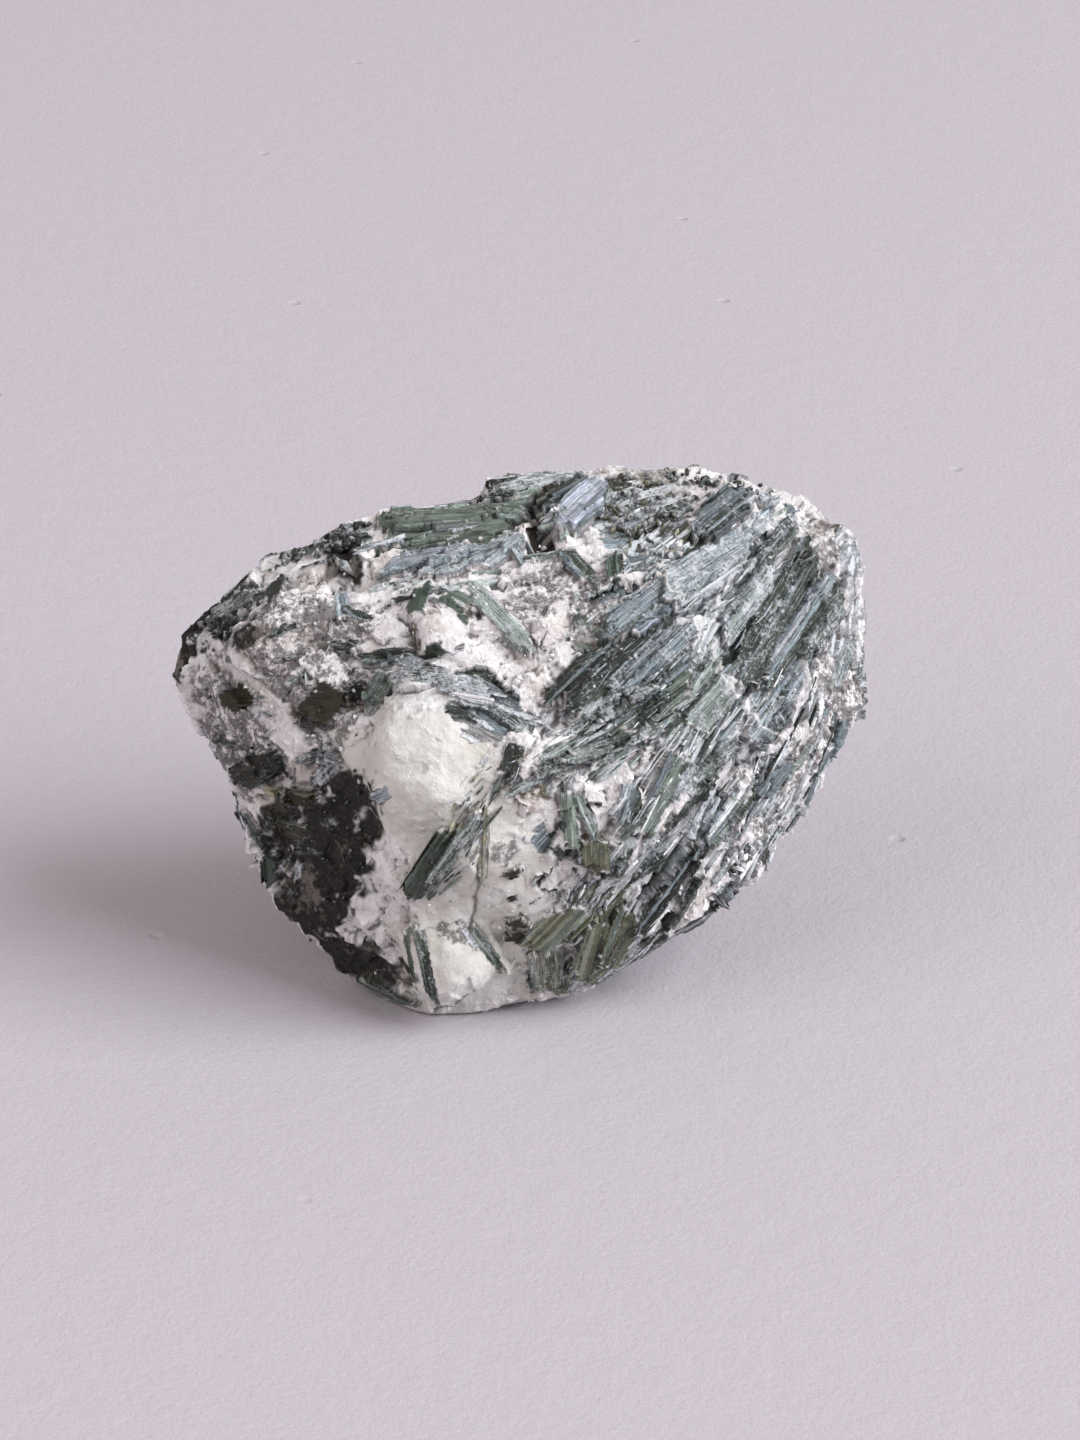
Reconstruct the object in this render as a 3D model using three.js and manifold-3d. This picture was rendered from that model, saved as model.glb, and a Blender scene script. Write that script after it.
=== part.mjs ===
// A hand specimen of actinolite: green blades grown through a white talc and calcite rock.
// It is one loose stone, about 110 mm across. Millimetres, +Z up, and the origin lies on the
// resting face, under the middle of the stone. The face that shows best looks towards -Y.
import * as THREE from "three";
import { ConvexGeometry } from "three/addons/geometries/ConvexGeometry.js";
import { ImprovedNoise } from "three/addons/math/ImprovedNoise.js";
import { TessellateModifier } from "three/addons/modifiers/TessellateModifier.js";
import { mergeVertices } from "three/addons/utils/BufferGeometryUtils.js";
import Module from "manifold-3d";

// Driving dimensions.
const heartHeight = 41.6; // height of the stone's heart above what it rests on
const eyeDistance = 700; // the faces are laid out as seen from this far away
const faceElevation = 25; // degrees above the horizon for the best face
const meshStep = 10; // longest edge of the rock's facets
const swell = { size: 15, height: 1.3 }; // broad unevenness of the broken rock
const grit = { size: 6, height: 0.7 }; // small lumps on it
const root = 2.6; // how deep a blade sits in the rock
const bevel = 0.22; // share of a blade's width taken by its sloping sides
const stepShare = 0.5; // width of the cleavage step on a broad blade
const stepRise = 0.8; // height of that step
const broad = 5.9; // blades at least this wide carry a step
const stoneColour = 0x8b968c;

const heart = new THREE.Vector3(0, 0, heartHeight);

// A way of looking at the stone: azimuth 0 looks along +Y, and 90 looks along -X.
function viewFrom(azimuth, elevation) {
  const a = THREE.MathUtils.degToRad(azimuth);
  const e = THREE.MathUtils.degToRad(elevation);
  const across = new THREE.Vector3(Math.cos(a), Math.sin(a), 0);
  const toward = new THREE.Vector3(
    Math.sin(a) * Math.cos(e),
    -Math.cos(a) * Math.cos(e),
    Math.sin(e),
  );
  const up = new THREE.Vector3().crossVectors(toward, across);
  const eye = heart.clone().addScaledVector(toward, eyeDistance);
  return { across, up, toward, eye };
}

// The point seen at (u, v) in a view, w nearer to the eye than the heart.
function seen(view, [u, v, w = 0]) {
  const shrink = 1 - w / eyeDistance;
  return heart
    .clone()
    .addScaledVector(view.across, u * shrink)
    .addScaledVector(view.up, v * shrink)
    .addScaledVector(view.toward, w);
}

const face = viewFrom(0, faceElevation);

// Corners of the rock, each as [across, up, towards the eye] on its best face.
const outlineCorners = [
  [-8.4, 38.6, -9],
  [-5.5, 39.6, -10],
  [12, 40.2, -11],
  [27, 40.2, -12],
  [36.5, 37.6, -11],
  [44, 33.6, -10],
  [50.4, 27.5, -8],
  [51, 18, -10],
  [51.8, 5, -8],
  [49, -3, -6],
  [42.5, -12, -2],
  [36, -22, 0],
  [28, -29.5, 2],
  [17.7, -36, 5],
  [8.7, -41, 4],
  [-38.8, -33.4, -3],
  [-44, -26.4, -4],
  [-47.4, -15, -6],
  [-57.6, 3.5, -4],
  [-58, 9, -4],
  [-56.4, 14.5, -4],
  [-49.6, 21.4, -4],
  [-41.5, 26.4, -3],
  [-28.4, 32.4, -5],
  [-24, 33.4, -6],
];
const faceCorners = [
  [-41, 20, 8],
  [-50, 8, 8],
  [-36, 8, 15],
  [-40, -6, 9],
  [-32, -8, 16],
  [-24.5, -19, 19],
  [-30, -30, 8],
  [-14, 22, 12],
  [-12, 6, 23],
  [-17, -8, 25],
  [-3, -7, 26],
  [-10, -22, 23],
  [-20, -33, 12],
  [6, 10, 22],
  [10, 28, 9],
  [24, 31, 5],
  [24, 12, 17],
  [40, 22, 3],
  [42, 6, 6],
  [24, -8, 19],
  [12, -20, 22],
  [8, -34, 11],
  [26, -22, 11],
];
// Corners of the foot, as [x, y], and of the hidden back, as [x, y, z].
const footCorners = [
  [-17.5, -20.6],
  [-24, -15.5],
  [-30, -6],
  [-32, 5],
  [-22, 15],
  [-4, 18],
  [10, 13],
  [14, 1],
  [9, -8],
  [2, -13.2],
  [-7, -16.2],
];
const footDepth = 1.2; // the foot's corners lie this much under the resting face
const backCorners = [
  [28, 33, 61],
  [-4, 33, 61],
  [-30, 27, 50],
  [-47, 17, 40],
  [-44, 15, 24],
  [-24, 31, 18],
  [4, 35, 14],
  [30, 31, 24],
  [44, 23, 38],
  [12, 37, 42],
];

// Notches broken out of the outline, straight back through the stone: [across, up] corners.
const notches = {
  topLeftStep: [
    [-9, 34.4],
    [-8.2, 38.2],
    [-8.2, 46],
    [-30, 46],
    [-30, 33.4],
  ],
  noseShoulder: [
    [-41, 26.7],
    [-35.8, 27.4],
    [-32, 30.6],
    [-37, 36],
  ],
  leftWaist: [
    [-45.3, -20.7],
    [-49.2, -7.4],
    [-55.9, 1.9],
    [-62, -10],
  ],
};

// Lumps that stand proud and hollows that are sunk: middle, half sizes and turn in degrees.
const lumps = {
  calciteBulge: { at: [-17, -6, 20], size: [11, 12, 7], turn: 20 },
  whiteKnob: { at: [-16, 12.5, 16.4], size: [4.4, 4, 4.6], turn: 0 },
  lowerFold: { at: [-14, -36, 9], size: [8, 9, 6], turn: -10 },
  noseRidge: { at: [-40, 14, 9], size: [12, 6, 5], turn: 35 },
  heelKnob: { at: [31.6, -22.6, 1], size: [4.6, 3.8, 5], turn: 30 },
  shoulderKnob: { at: [45, 27, -5.5], size: [4.4, 4.8, 5], turn: -30 },
};
const hollows = {
  ridgeHole: { at: [-31.8, 23, 11], size: [2.2, 3.6, 7], turn: 10 },
  ledgeGap: { at: [-0.4, 29, 9], size: [1.4, 3.6, 5], turn: 0 },
  charcoalHollow: { at: [-34, -20, 18], size: [8.5, 10, 7], turn: -20 },
  nosePocket: { at: [-29.5, 4, 20], size: [5, 3.4, 5], turn: 15 },
  underSheaf: { at: [-5, -17, 29], size: [5, 8, 5], turn: -8 },
  forkPit: { at: [11, -17.5, 23.5], size: [2, 3, 4], turn: -20 },
  slabPit: { at: [8, 12.5, 21.5], size: [2.6, 1.6, 4], turn: 0 },
  crumblyTop: { at: [17, 33, 8], size: [6, 7, 3.5], turn: 0 },
};

// Blades that can be told apart on the best face: the ends of each blade's middle line as
// [across, up], its width, and how far it stands out of the rock.
const faceBlades = [
  // the ledge along the top, and the blades under it
  { from: [-26.2, 31.4], to: [-6.5, 32.8], wide: 4.4, rise: 1.2 },
  { from: [-7.6, 36.6], to: [8, 38.4], wide: 3.6, rise: 1 },
  { from: [-0.5, 33.2], to: [7.5, 38.8], wide: 2.4, rise: 0.8 },
  { from: [2.6, 30.6], to: [10.6, 37.2], wide: 6.2, rise: 2 },
  { from: [-30, 25.8], to: [-21.5, 29.3], wide: 2.2, rise: 0.8 },
  { from: [-25.6, 23.6], to: [-10, 26.8], wide: 3.8, rise: 1.7 },
  { from: [-19.5, 22.6], to: [-2.5, 28.4], wide: 3.4, rise: 1.3 },
  { from: [-9.5, 23.8], to: [1.5, 32.4], wide: 2.2, rise: 1.5 },
  { from: [-11.8, 22], to: [-1, 10.8], wide: 4, rise: 1.2 },
  { from: [-18, 21.6], to: [-20.4, 15.6], wide: 2.8, rise: 1.5 },
  { from: [-15.8, 20], to: [-11.6, 18], wide: 3.4, rise: 1 },
  { from: [3.6, 27], to: [9, 21], wide: 2.8, rise: 0.7 },
  { from: [11.6, 26.5], to: [12, 21.6], wide: 2.8, rise: 0.9 },
  // the nose on the left
  { from: [-57, 9.6], to: [-54, 15.2], wide: 2.4, rise: 0.8 },
  { from: [-52.4, 15.6], to: [-44.6, 20.4], wide: 4, rise: 0.9 },
  { from: [-40.6, 23], to: [-42.8, 18.2], wide: 2.6, rise: 0.9 },
  { from: [-57, 5], to: [-52.4, 3], wide: 2.6, rise: 0.8 },
  { from: [-50.4, 3.2], to: [-45.8, 3.6], wide: 4.4, rise: 0.9 },
  { from: [-37.5, 2.6], to: [-31, 2.4], wide: 5, rise: 0.9 },
  { from: [-27.6, 2.2], to: [-23.4, 7.6], wide: 3.8, rise: 1.6 },
  { from: [-21.5, 6.5], to: [-9, 5], wide: 6, rise: 0.9 },
  { from: [-28, 9.8], to: [-20.5, 10.4], wide: 2.6, rise: 0.9 },
  // the dark blades on the shaded side
  { from: [-47.4, -10.2], to: [-42, -6.2], wide: 4.4, rise: 1.6 },
  { from: [-40, -11.8], to: [-34.6, -12.6], wide: 3.4, rise: 1.2 },
  { from: [-42, -16], to: [-36.4, -18.4], wide: 3, rise: 1 },
  { from: [-47.2, -14.6], to: [-43.2, -20.4], wide: 1.8, rise: 0.9 },
  { from: [-42.8, -20.6], to: [-42.4, -26.4], wide: 3, rise: 1.2 },
  { from: [-37, -35.9], to: [-25, -35], wide: 2.8, rise: 1.3 },
  { from: [-29, -40.4], to: [-19.6, -45.2], wide: 3.6, rise: 0.9 },
  // the crack across the middle, and the blades on the pale foot
  { from: [-20.9, -28.4], to: [-13.6, -17.2], wide: 3.6, rise: 2.2 },
  { from: [-17.2, -25.8], to: [-9.4, -14.4], wide: 2, rise: 1.4 },
  { from: [-8.4, -13], to: [-9.2, -27], wide: 1.6, rise: 0.8 },
  { from: [-21.2, -33], to: [-19, -42.4], wide: 1.4, rise: 0.9 },
  { from: [-19.2, -34], to: [-16.2, -45.8], wide: 2, rise: 1.2 },
  { from: [-10.8, -33], to: [-5, -40.6], wide: 1.8, rise: 0.7 },
  { from: [-5.8, -31.8], to: [-1.4, -32.6], wide: 2.4, rise: 0.7 },
  { from: [-0.6, -37.6], to: [3.6, -43], wide: 4.8, rise: 1 },
  { from: [-0.6, -36.4], to: [6, -29], wide: 5.2, rise: 1.4 },
  { from: [6.4, -40.6], to: [9.6, -30.4], wide: 3.6, rise: 1.6 },
  { from: [10, -38], to: [14.4, -30], wide: 4.8, rise: 1.5 },
  { from: [8.8, -24], to: [8.8, -18.6], wide: 4.4, rise: 1.2 },
  { from: [4, -10], to: [5.2, -20.6], wide: 2.4, rise: 1.2 },
  { from: [5.6, -11], to: [9.4, -19.4], wide: 1.6, rise: 1 },
  { from: [-3.4, -3.4], to: [-5.6, -9.6], wide: 3, rise: 0.9 },
  { from: [-6, -12.4], to: [4, -6.6], wide: 1.8, rise: 1.2 },
  { from: [-2, -8.6], to: [12, -4.2], wide: 2.2, rise: 1.3 },
  { from: [4, -6.4], to: [20, -0.8], wide: 2.4, rise: 1.2 },
  // the long slabs of the right-hand face
  { from: [1.2, 3.2], to: [12.6, 13.6], wide: 3.2, rise: 1.3 },
  { from: [5, 2.4], to: [20, 15], wide: 4.6, rise: 1.9 },
  { from: [10.5, 4.6], to: [26.5, 17], wide: 6, rise: 1.4 },
  { from: [12.6, 13.4], to: [21.5, 22], wide: 5.4, rise: 1.7 },
  { from: [21, 19.6], to: [33, 28.2], wide: 7, rise: 1.2 },
  { from: [5, -0.6], to: [19, 5.6], wide: 3.4, rise: 0.9 },
  { from: [10.4, -3], to: [24.6, 8.4], wide: 3.4, rise: 0.7 },
  { from: [24, 29.4], to: [33, 36], wide: 6, rise: 1.8 },
  { from: [30, 26.4], to: [39.6, 36], wide: 5, rise: 1.4 },
  { from: [34.6, 25], to: [40.4, 31.4], wide: 3, rise: 1 },
  { from: [29.6, 12.6], to: [36, 23], wide: 3.6, rise: 1 },
  { from: [31.4, 6], to: [43, 25.4], wide: 6, rise: 1.9 },
  { from: [35.4, 5.6], to: [46, 22.6], wide: 4.6, rise: 1.3 },
  { from: [41, 9.6], to: [48, 19], wide: 4, rise: 1.5 },
  { from: [31.4, -3.2], to: [42, 8.6], wide: 6, rise: 1.2 },
  { from: [24, -1.6], to: [31, 6.6], wide: 5, rise: 0.8 },
  // the narrow blades that run down to the lower right
  { from: [16, -17.6], to: [22.6, -4.2], wide: 3.8, rise: 1.2 },
  { from: [14.6, -9.4], to: [12, -16.4], wide: 3, rise: 1 },
  { from: [15, -22.6], to: [27, -9], wide: 2.2, rise: 1.1 },
  { from: [15.6, -34.4], to: [22, -22.6], wide: 3.8, rise: 1.9 },
  { from: [20, -25.6], to: [31, -8.4], wide: 3, rise: 1.2 },
  { from: [24, -22], to: [33.4, -7.6], wide: 2.6, rise: 1.3 },
  { from: [35, -9.4], to: [44, 0], wide: 2.4, rise: 1 },
  { from: [33.4, -14.4], to: [46, -5], wide: 2.4, rise: 0.8 },
  { from: [21, -32.6], to: [33, -22.4], wide: 2.6, rise: 1.2 },
  { from: [40.8, -13.4], to: [46.4, -8.2], wide: 2, rise: 0.7 },
  { from: [45.8, 4], to: [49.6, 14], wide: 3, rise: 0.6 },
];

// Drifts of blades on the sides that the best face hides, each seen from its own direction.
const drifts = [
  { azimuth: 90, elevation: 5, at: [2, 4], spread: [22, 24], count: 6, heading: 55, fan: 18 },
  { azimuth: 180, elevation: 10, at: [-24, 4], spread: [20, 24], count: 6, heading: 128, fan: 20 },
  { azimuth: 180, elevation: 10, at: [18, 2], spread: [24, 22], count: 6, heading: 70, fan: 35 },
  { azimuth: 270, elevation: 5, at: [2, 0], spread: [18, 24], count: 5, heading: 35, fan: 40 },
  { azimuth: 0, elevation: 80, at: [10, 8], spread: [28, 14], count: 5, heading: 20, fan: 30 },
  { azimuth: 90, elevation: -35, at: [-4, 2], spread: [16, 14], count: 3, heading: 120, fan: 40 },
  { azimuth: 215, elevation: -30, at: [4, 0], spread: [22, 14], count: 3, heading: 160, fan: 40 },
];
const driftSizes = { long: [9, 24], wide: [2.4, 5.2], rise: [0.7, 1.6] };
const steepest = 0.42; // a drift's blade is left out where the rock turns further away than this

const wasm = await Module();
wasm.setup();

// A closed mesh as a solid that can be joined and cut, and back again.
function solidFrom(geometry) {
  const bare = geometry.clone();
  bare.deleteAttribute("normal");
  bare.deleteAttribute("uv");
  const merged = mergeVertices(bare, 1e-4);
  return new wasm.Manifold(
    new wasm.Mesh({
      numProp: 3,
      vertProperties: merged.attributes.position.array,
      triVerts: new Uint32Array(merged.index.array),
    }),
  );
}

function geometryFrom(solid) {
  const mesh = solid.getMesh();
  return new THREE.BufferGeometry()
    .setAttribute("position", new THREE.BufferAttribute(mesh.vertProperties, 3))
    .setIndex(new THREE.BufferAttribute(mesh.triVerts, 1));
}

// The rock before it is roughened.
function wedge(corners) {
  const near = corners.map(([u, v]) => seen(face, [u, v, 70]));
  const far = corners.map(([u, v]) => seen(face, [u, v, -70]));
  return solidFrom(new ConvexGeometry([...near, ...far]));
}

function squashedBall({ at, size, turn }) {
  const ball = new THREE.IcosahedronGeometry(1, 1);
  const tilt = THREE.MathUtils.degToRad(turn);
  const axes = new THREE.Matrix4().makeBasis(face.across, face.up, face.toward);
  axes.multiply(new THREE.Matrix4().makeRotationZ(tilt));
  axes.scale(new THREE.Vector3(...size)).setPosition(seen(face, at));
  return solidFrom(ball.applyMatrix4(axes));
}

function brokenRock() {
  const corners = [
    ...outlineCorners.map((corner) => seen(face, corner)),
    ...faceCorners.map((corner) => seen(face, corner)),
    ...footCorners.map(([x, y]) => new THREE.Vector3(x, y, -footDepth)),
    ...backCorners.map((corner) => new THREE.Vector3(...corner)),
  ];
  let rock = solidFrom(new ConvexGeometry(corners));
  for (const lump of Object.values(lumps)) rock = rock.add(squashedBall(lump));
  for (const hollow of Object.values(hollows)) rock = rock.subtract(squashedBall(hollow));
  for (const notch of Object.values(notches)) rock = rock.subtract(wedge(notch));
  return geometryFrom(rock);
}

// Noise at two scales, pushed in or out along the surface.
function roughen(geometry) {
  const noise = new ImprovedNoise();
  const rough = mergeVertices(new TessellateModifier(meshStep, 16).modify(geometry), 1e-3);
  rough.computeVertexNormals();
  const place = rough.getAttribute("position");
  const normal = rough.getAttribute("normal");
  const point = new THREE.Vector3();
  const outward = new THREE.Vector3();
  for (let i = 0; i < place.count; i++) {
    point.fromBufferAttribute(place, i);
    outward.fromBufferAttribute(normal, i);
    let push = 0;
    for (const { size, height } of [swell, grit])
      push += height * noise.noise(point.x / size, point.y / size, point.z / size);
    point.addScaledVector(outward, push);
    place.setXYZ(i, point.x, point.y, point.z);
  }
  return rough;
}

// A lath with sloping sides: length along X, width along Y, its top at z = rise.
function lath(long, wide, rise, skew) {
  const corners = [];
  for (const [inset, z] of [[0, -root], [bevel * wide, rise]])
    for (const x of [-1, 1])
      for (const y of [-1, 1]) {
        const alongEnd = x * (long / 2 - inset) + skew * y * wide;
        corners.push(new THREE.Vector3(alongEnd, y * (wide / 2 - inset), z));
      }
  return new ConvexGeometry(corners);
}

// The solids of one blade that lies on the rock between two places seen in a view.
function blade(rock, view, { from, to, wide, rise }, skew) {
  const ray = new THREE.Raycaster();
  const middle = [(from[0] + to[0]) / 2, (from[1] + to[1]) / 2];
  const hits = [from, middle, to].map((spot) => {
    ray.set(view.eye, seen(view, spot).sub(view.eye).normalize());
    return ray.intersectObject(rock)[0];
  });
  if (hits.some((hit) => !hit)) return [];
  const outward = hits.reduce((sum, hit) => sum.add(hit.face.normal), new THREE.Vector3());
  outward.normalize();
  if (outward.dot(view.toward) < steepest && view !== face) return [];
  const along = hits[2].point.clone().sub(hits[0].point);
  const long = along.length();
  along.addScaledVector(outward, -along.dot(outward)).normalize();
  const sideways = new THREE.Vector3().crossVectors(outward, along);
  const centre = hits[0].point.clone().add(hits[2].point).multiplyScalar(0.5);
  centre.lerp(hits[1].point, 0.5);
  const pose = new THREE.Matrix4().makeBasis(along, sideways, outward).setPosition(centre);
  const made = [lath(long, wide, rise, skew)];
  if (wide >= broad) {
    const step = lath(long * 0.86, wide * stepShare, rise + stepRise, -skew);
    made.push(step.translate(0, (wide * (skew > 0 ? 1 : -1)) / 7, 0));
  }
  return made.map((geometry) => solidFrom(geometry.applyMatrix4(pose)));
}

// Even, repeatable draws between 0 and 1.
function drawsFrom(seed) {
  let state = seed;
  return () => {
    state = (state * 16807) % 2147483647;
    return state / 2147483647;
  };
}

function driftBlades(drift, draw) {
  const between = ([low, high]) => low + (high - low) * draw();
  const made = [];
  for (let i = 0; i < drift.count; i++) {
    const u = drift.at[0] + drift.spread[0] * (draw() - 0.5) * 2;
    const v = drift.at[1] + drift.spread[1] * (draw() - 0.5) * 2;
    const heading = THREE.MathUtils.degToRad(drift.heading + drift.fan * (draw() - 0.5) * 2);
    const reach = between(driftSizes.long) / 2;
    const [du, dv] = [Math.cos(heading) * reach, Math.sin(heading) * reach];
    const wide = between(driftSizes.wide);
    const rise = between(driftSizes.rise);
    made.push({ from: [u - du, v - dv], to: [u + du, v + dv], wide, rise });
  }
  return made;
}

function allBlades(rock) {
  const draw = drawsFrom(20231);
  const solids = [];
  const lay = (view, one) => solids.push(...blade(rock, view, one, (draw() - 0.5) * 0.9));
  for (const one of faceBlades) lay(face, one);
  for (const drift of drifts) {
    const view = viewFrom(drift.azimuth, drift.elevation);
    for (const one of driftBlades(drift, draw)) lay(view, one);
  }
  return solids;
}

function actinoliteStone() {
  const sharp = brokenRock();
  const carrier = new THREE.Mesh(sharp.toNonIndexed());
  let stone = solidFrom(roughen(sharp));
  for (const one of allBlades(carrier)) stone = stone.add(one);
  const ground = new THREE.BoxGeometry(400, 400, 100).translate(0, 0, -50);
  const geometry = geometryFrom(stone.subtract(solidFrom(ground)));
  geometry.computeBoundingBox();
  const middle = geometry.boundingBox.getCenter(new THREE.Vector3());
  return geometry.translate(-middle.x, -middle.y, 0);
}

const stone = new THREE.Mesh(
  actinoliteStone(),
  new THREE.MeshStandardMaterial({ color: stoneColour, roughness: 0.75, metalness: 0 }),
);
stone.name = "stone";

const specimen = new THREE.Group();
specimen.add(stone);

export default specimen;
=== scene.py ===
import math

import bpy
import numpy as np
from mathutils import Matrix, Vector
from mathutils.bvhtree import BVHTree


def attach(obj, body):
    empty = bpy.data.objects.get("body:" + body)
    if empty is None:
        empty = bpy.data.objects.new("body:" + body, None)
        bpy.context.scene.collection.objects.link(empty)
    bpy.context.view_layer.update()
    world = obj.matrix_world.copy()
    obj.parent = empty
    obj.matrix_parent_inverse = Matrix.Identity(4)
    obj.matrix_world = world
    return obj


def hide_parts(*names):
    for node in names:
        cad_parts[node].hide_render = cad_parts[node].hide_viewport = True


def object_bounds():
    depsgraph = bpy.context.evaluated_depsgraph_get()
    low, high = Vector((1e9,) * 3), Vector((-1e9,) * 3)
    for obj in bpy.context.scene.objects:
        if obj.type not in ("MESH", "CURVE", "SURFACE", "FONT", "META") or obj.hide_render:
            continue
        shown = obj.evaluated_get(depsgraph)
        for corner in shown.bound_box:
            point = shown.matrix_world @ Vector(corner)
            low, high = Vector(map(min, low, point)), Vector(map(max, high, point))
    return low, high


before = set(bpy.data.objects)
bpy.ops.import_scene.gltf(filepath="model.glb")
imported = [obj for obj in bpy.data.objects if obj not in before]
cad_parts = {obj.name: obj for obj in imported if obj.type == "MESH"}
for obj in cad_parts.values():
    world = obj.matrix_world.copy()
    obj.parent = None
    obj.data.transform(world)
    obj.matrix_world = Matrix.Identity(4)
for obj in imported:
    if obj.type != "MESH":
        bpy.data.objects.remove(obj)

# Actinolite: green blades grown through a white talc and calcite rock.
# Lengths below are millimetres; mm turns them into Blender's metres.
mm = 0.001
cadLow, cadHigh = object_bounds()

# The camera's way of seeing, which the blades are laid out in.
sight = {
    "heart": (59.0, 30.53, 41.6),  # what the picture's middle meets, from the low corner of the stone's box
    "eyeDistance": 700.0,
    "elevation": 25.0,
    "lens": 110.8,
    "sensor": 36,  # its height
    "nearest": 0.01,
}
heart = Vector((cadLow.x / mm + sight["heart"][0], cadLow.y / mm + sight["heart"][1], sight["heart"][2]))


def viewFrom(azimuth, elevation):
    a, e = math.radians(azimuth), math.radians(elevation)
    across = Vector((math.cos(a), math.sin(a), 0))
    toward = Vector((math.sin(a) * math.cos(e), -math.cos(a) * math.cos(e), math.sin(e)))
    up = toward.cross(across)
    return {"across": across, "up": up, "toward": toward, "eye": heart + toward * sight["eyeDistance"]}


face = viewFrom(0, sight["elevation"])


def seenAt(view, u, v):
    return heart + view["across"] * u + view["up"] * v


def viewCoordinates(points):
    # where points of the stone appear on the best face, as (u, v)
    eye = np.array(face["eye"])
    rel = points - eye
    depth = -(rel @ np.array(face["toward"]))
    scale = sight["eyeDistance"] / depth
    return rel @ np.array(face["across"]) * scale, rel @ np.array(face["up"]) * scale


# Small helpers.
def deselectAll():
    for one in bpy.context.selected_objects:
        one.select_set(False)


def activate(one):
    deselectAll()
    one.select_set(True)
    bpy.context.view_layer.objects.active = one


boxRoom = 1.4  # how far the rock may stand past the solid's own box


def insideBox(points):
    return np.clip(points, np.array(cadLow) / mm - boxRoom, np.array(cadHigh) / mm + boxRoom)


def finishModifiers(one):
    activate(one)
    for modifier in list(one.modifiers):
        bpy.ops.object.modifier_apply(modifier=modifier.name)


def vertexArray(mesh):
    flat = np.empty(len(mesh.vertices) * 3, np.float32)
    mesh.vertices.foreach_get("co", flat)
    return flat.reshape(-1, 3).astype(float)


def normalArray(mesh):
    flat = np.empty(len(mesh.vertices) * 3, np.float32)
    mesh.vertex_normals.foreach_get("vector", flat)
    return flat.reshape(-1, 3).astype(float)


latticeSide = 64
lattice = np.random.default_rng(5).normal(size=(latticeSide ** 3, 3))
lattice = (lattice / np.linalg.norm(lattice, axis=1, keepdims=True)).astype(np.float32)


def noiseAt(points, size, seed):
    # smooth noise between about -1 and 1, one value for each point
    place = (points / size + np.array((seed, seed * 1.7, -seed))).astype(np.float32)
    cell = np.floor(place)
    part = place - cell
    ease = part ** 3 * (part * (part * 6 - 15) + 10)
    near, far = 1 - ease, ease
    cell = cell.astype(np.int32)
    total = np.zeros(len(points), np.float32)
    for corner in np.ndindex(2, 2, 2):
        x, y, z = (cell + np.array(corner, np.int32)).T % latticeSide
        slope = lattice[(x * latticeSide + y) * latticeSide + z]
        rise = np.einsum("ij,ij->i", part - np.array(corner, np.float32), slope)
        for axis in range(3):
            rise *= (far if corner[axis] else near)[:, axis]
        total += rise
    return total.astype(float) * 1.5


def smoothStep(x, low, high):
    t = np.clip((x - low) / (high - low), 0, 1)
    return t * t * (3 - 2 * t)


# The host rock: a fine skin over the stone's solid.
rockForm = {
    "coarse": {"voxel": 1.0, "melt": 9},  # melts the solid's plain blades into the rock
    "fine": {"voxel": 0.315, "melt": 3},
    "carrier": {"voxel": 1.2, "melt": 22},  # the calm surface that the blades are laid on
    "sink": 0.35,  # how far the rock lies under the solid's skin
    "lumps": {"size": 6.0, "height": 0.7},
    "grain": {"size": 1.6, "height": 0.16},
    "sugar": {"size": 0.7, "height": 0.1},
    # The crevice depth found with these settings is used only to paint shade into crevices and a highlight
    # onto ridges.
    "hollow": {"rounds": 8, "full": 0.4},  # how crevices are found, and how deep a full one is
    "crisp": 34,  # edges sharper than this many degrees stay crisp
    "foot": (0.3, 2.0),  # heights between which the flat underside passes into rough rock
}
toneLimits = (0.005, 0.9)  # no tone is darker or lighter than this
# The skin is shared out among flat cells: crags in the white rock, cleaved blades in the green.
cells = {
    "crag": {
        "count": 1100, "width": 4.5, "stretch": 1.3, "tilt": 0.3, "step": 0.28, "hold": 0.8, "warp": 0.8,
    },
    "chip": {
        "count": 7500, "width": 1.7, "stretch": 1.5, "tilt": 0.22, "step": 0.06, "hold": 0.65, "warp": 0.3,
    },
    "blade": {
        "count": 1500, "narrow": 1.0, "stretch": 4.0, "roll": 0.13, "pitch": 0.05,
        "step": 0.32, "hold": 0.85, "warp": 0.5,
    },
    "lath": {
        "count": 6000, "narrow": 0.4, "stretch": 8.0, "roll": 0.14, "pitch": 0.015,
        "step": 0.06, "hold": 0.9, "warp": 0.12,
    },
}
# How the cells of either kind differ among themselves, and how far one may draw the skin.
cellSpread = {"width": 0.25, "reach": 1.3}
# How a cleaved cell takes after the places where the growth is known.
cleaving = {
    "inside": 0.4,  # the share of bladed rock that a cell's middle needs
    "calm": 12,  # near a known place, in square mm, its weight no longer grows
    "stray": 0.25,
    "sway": 0.06,
    "common": 1.5,  # cells wider than this are thinned out
    "thinning": 1.2,
    "fewest": 0.1,
    "warp": 1.6,
}
# What grows at random on the sides that the best face hides: the noise's size and seed, and the range
# in which the kind of rock takes over.
farPatches = [("cream", 15, 8.0, (0.2, 0.4)), ("speckle_and_shade", 9, 12.0, (0.0, 0.4))]
farBlades = {"size": 17, "detail": 5, "range": (-0.25, 0.0)}
# How much each kind of rock calms the crags and chips.
calming = {"cream": 0.72, "speckle_and_shade": 0.4, "bladed": 0.6}
# The tones of the cleaved cells: their spread, the light ones that are mostly talc, and white threads.
cellTones = {
    "spread": 0.16,
    "threadSpread": 0.14,
    "pale": 0.4,
    "paleTalc": 0.85,
    "dust": (0.15, 0.6),
    "white": 0.16,
    "whiteDust": 0.8,
    "shift": 300,  # so that no two cells show the same stretch of grain
}

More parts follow.
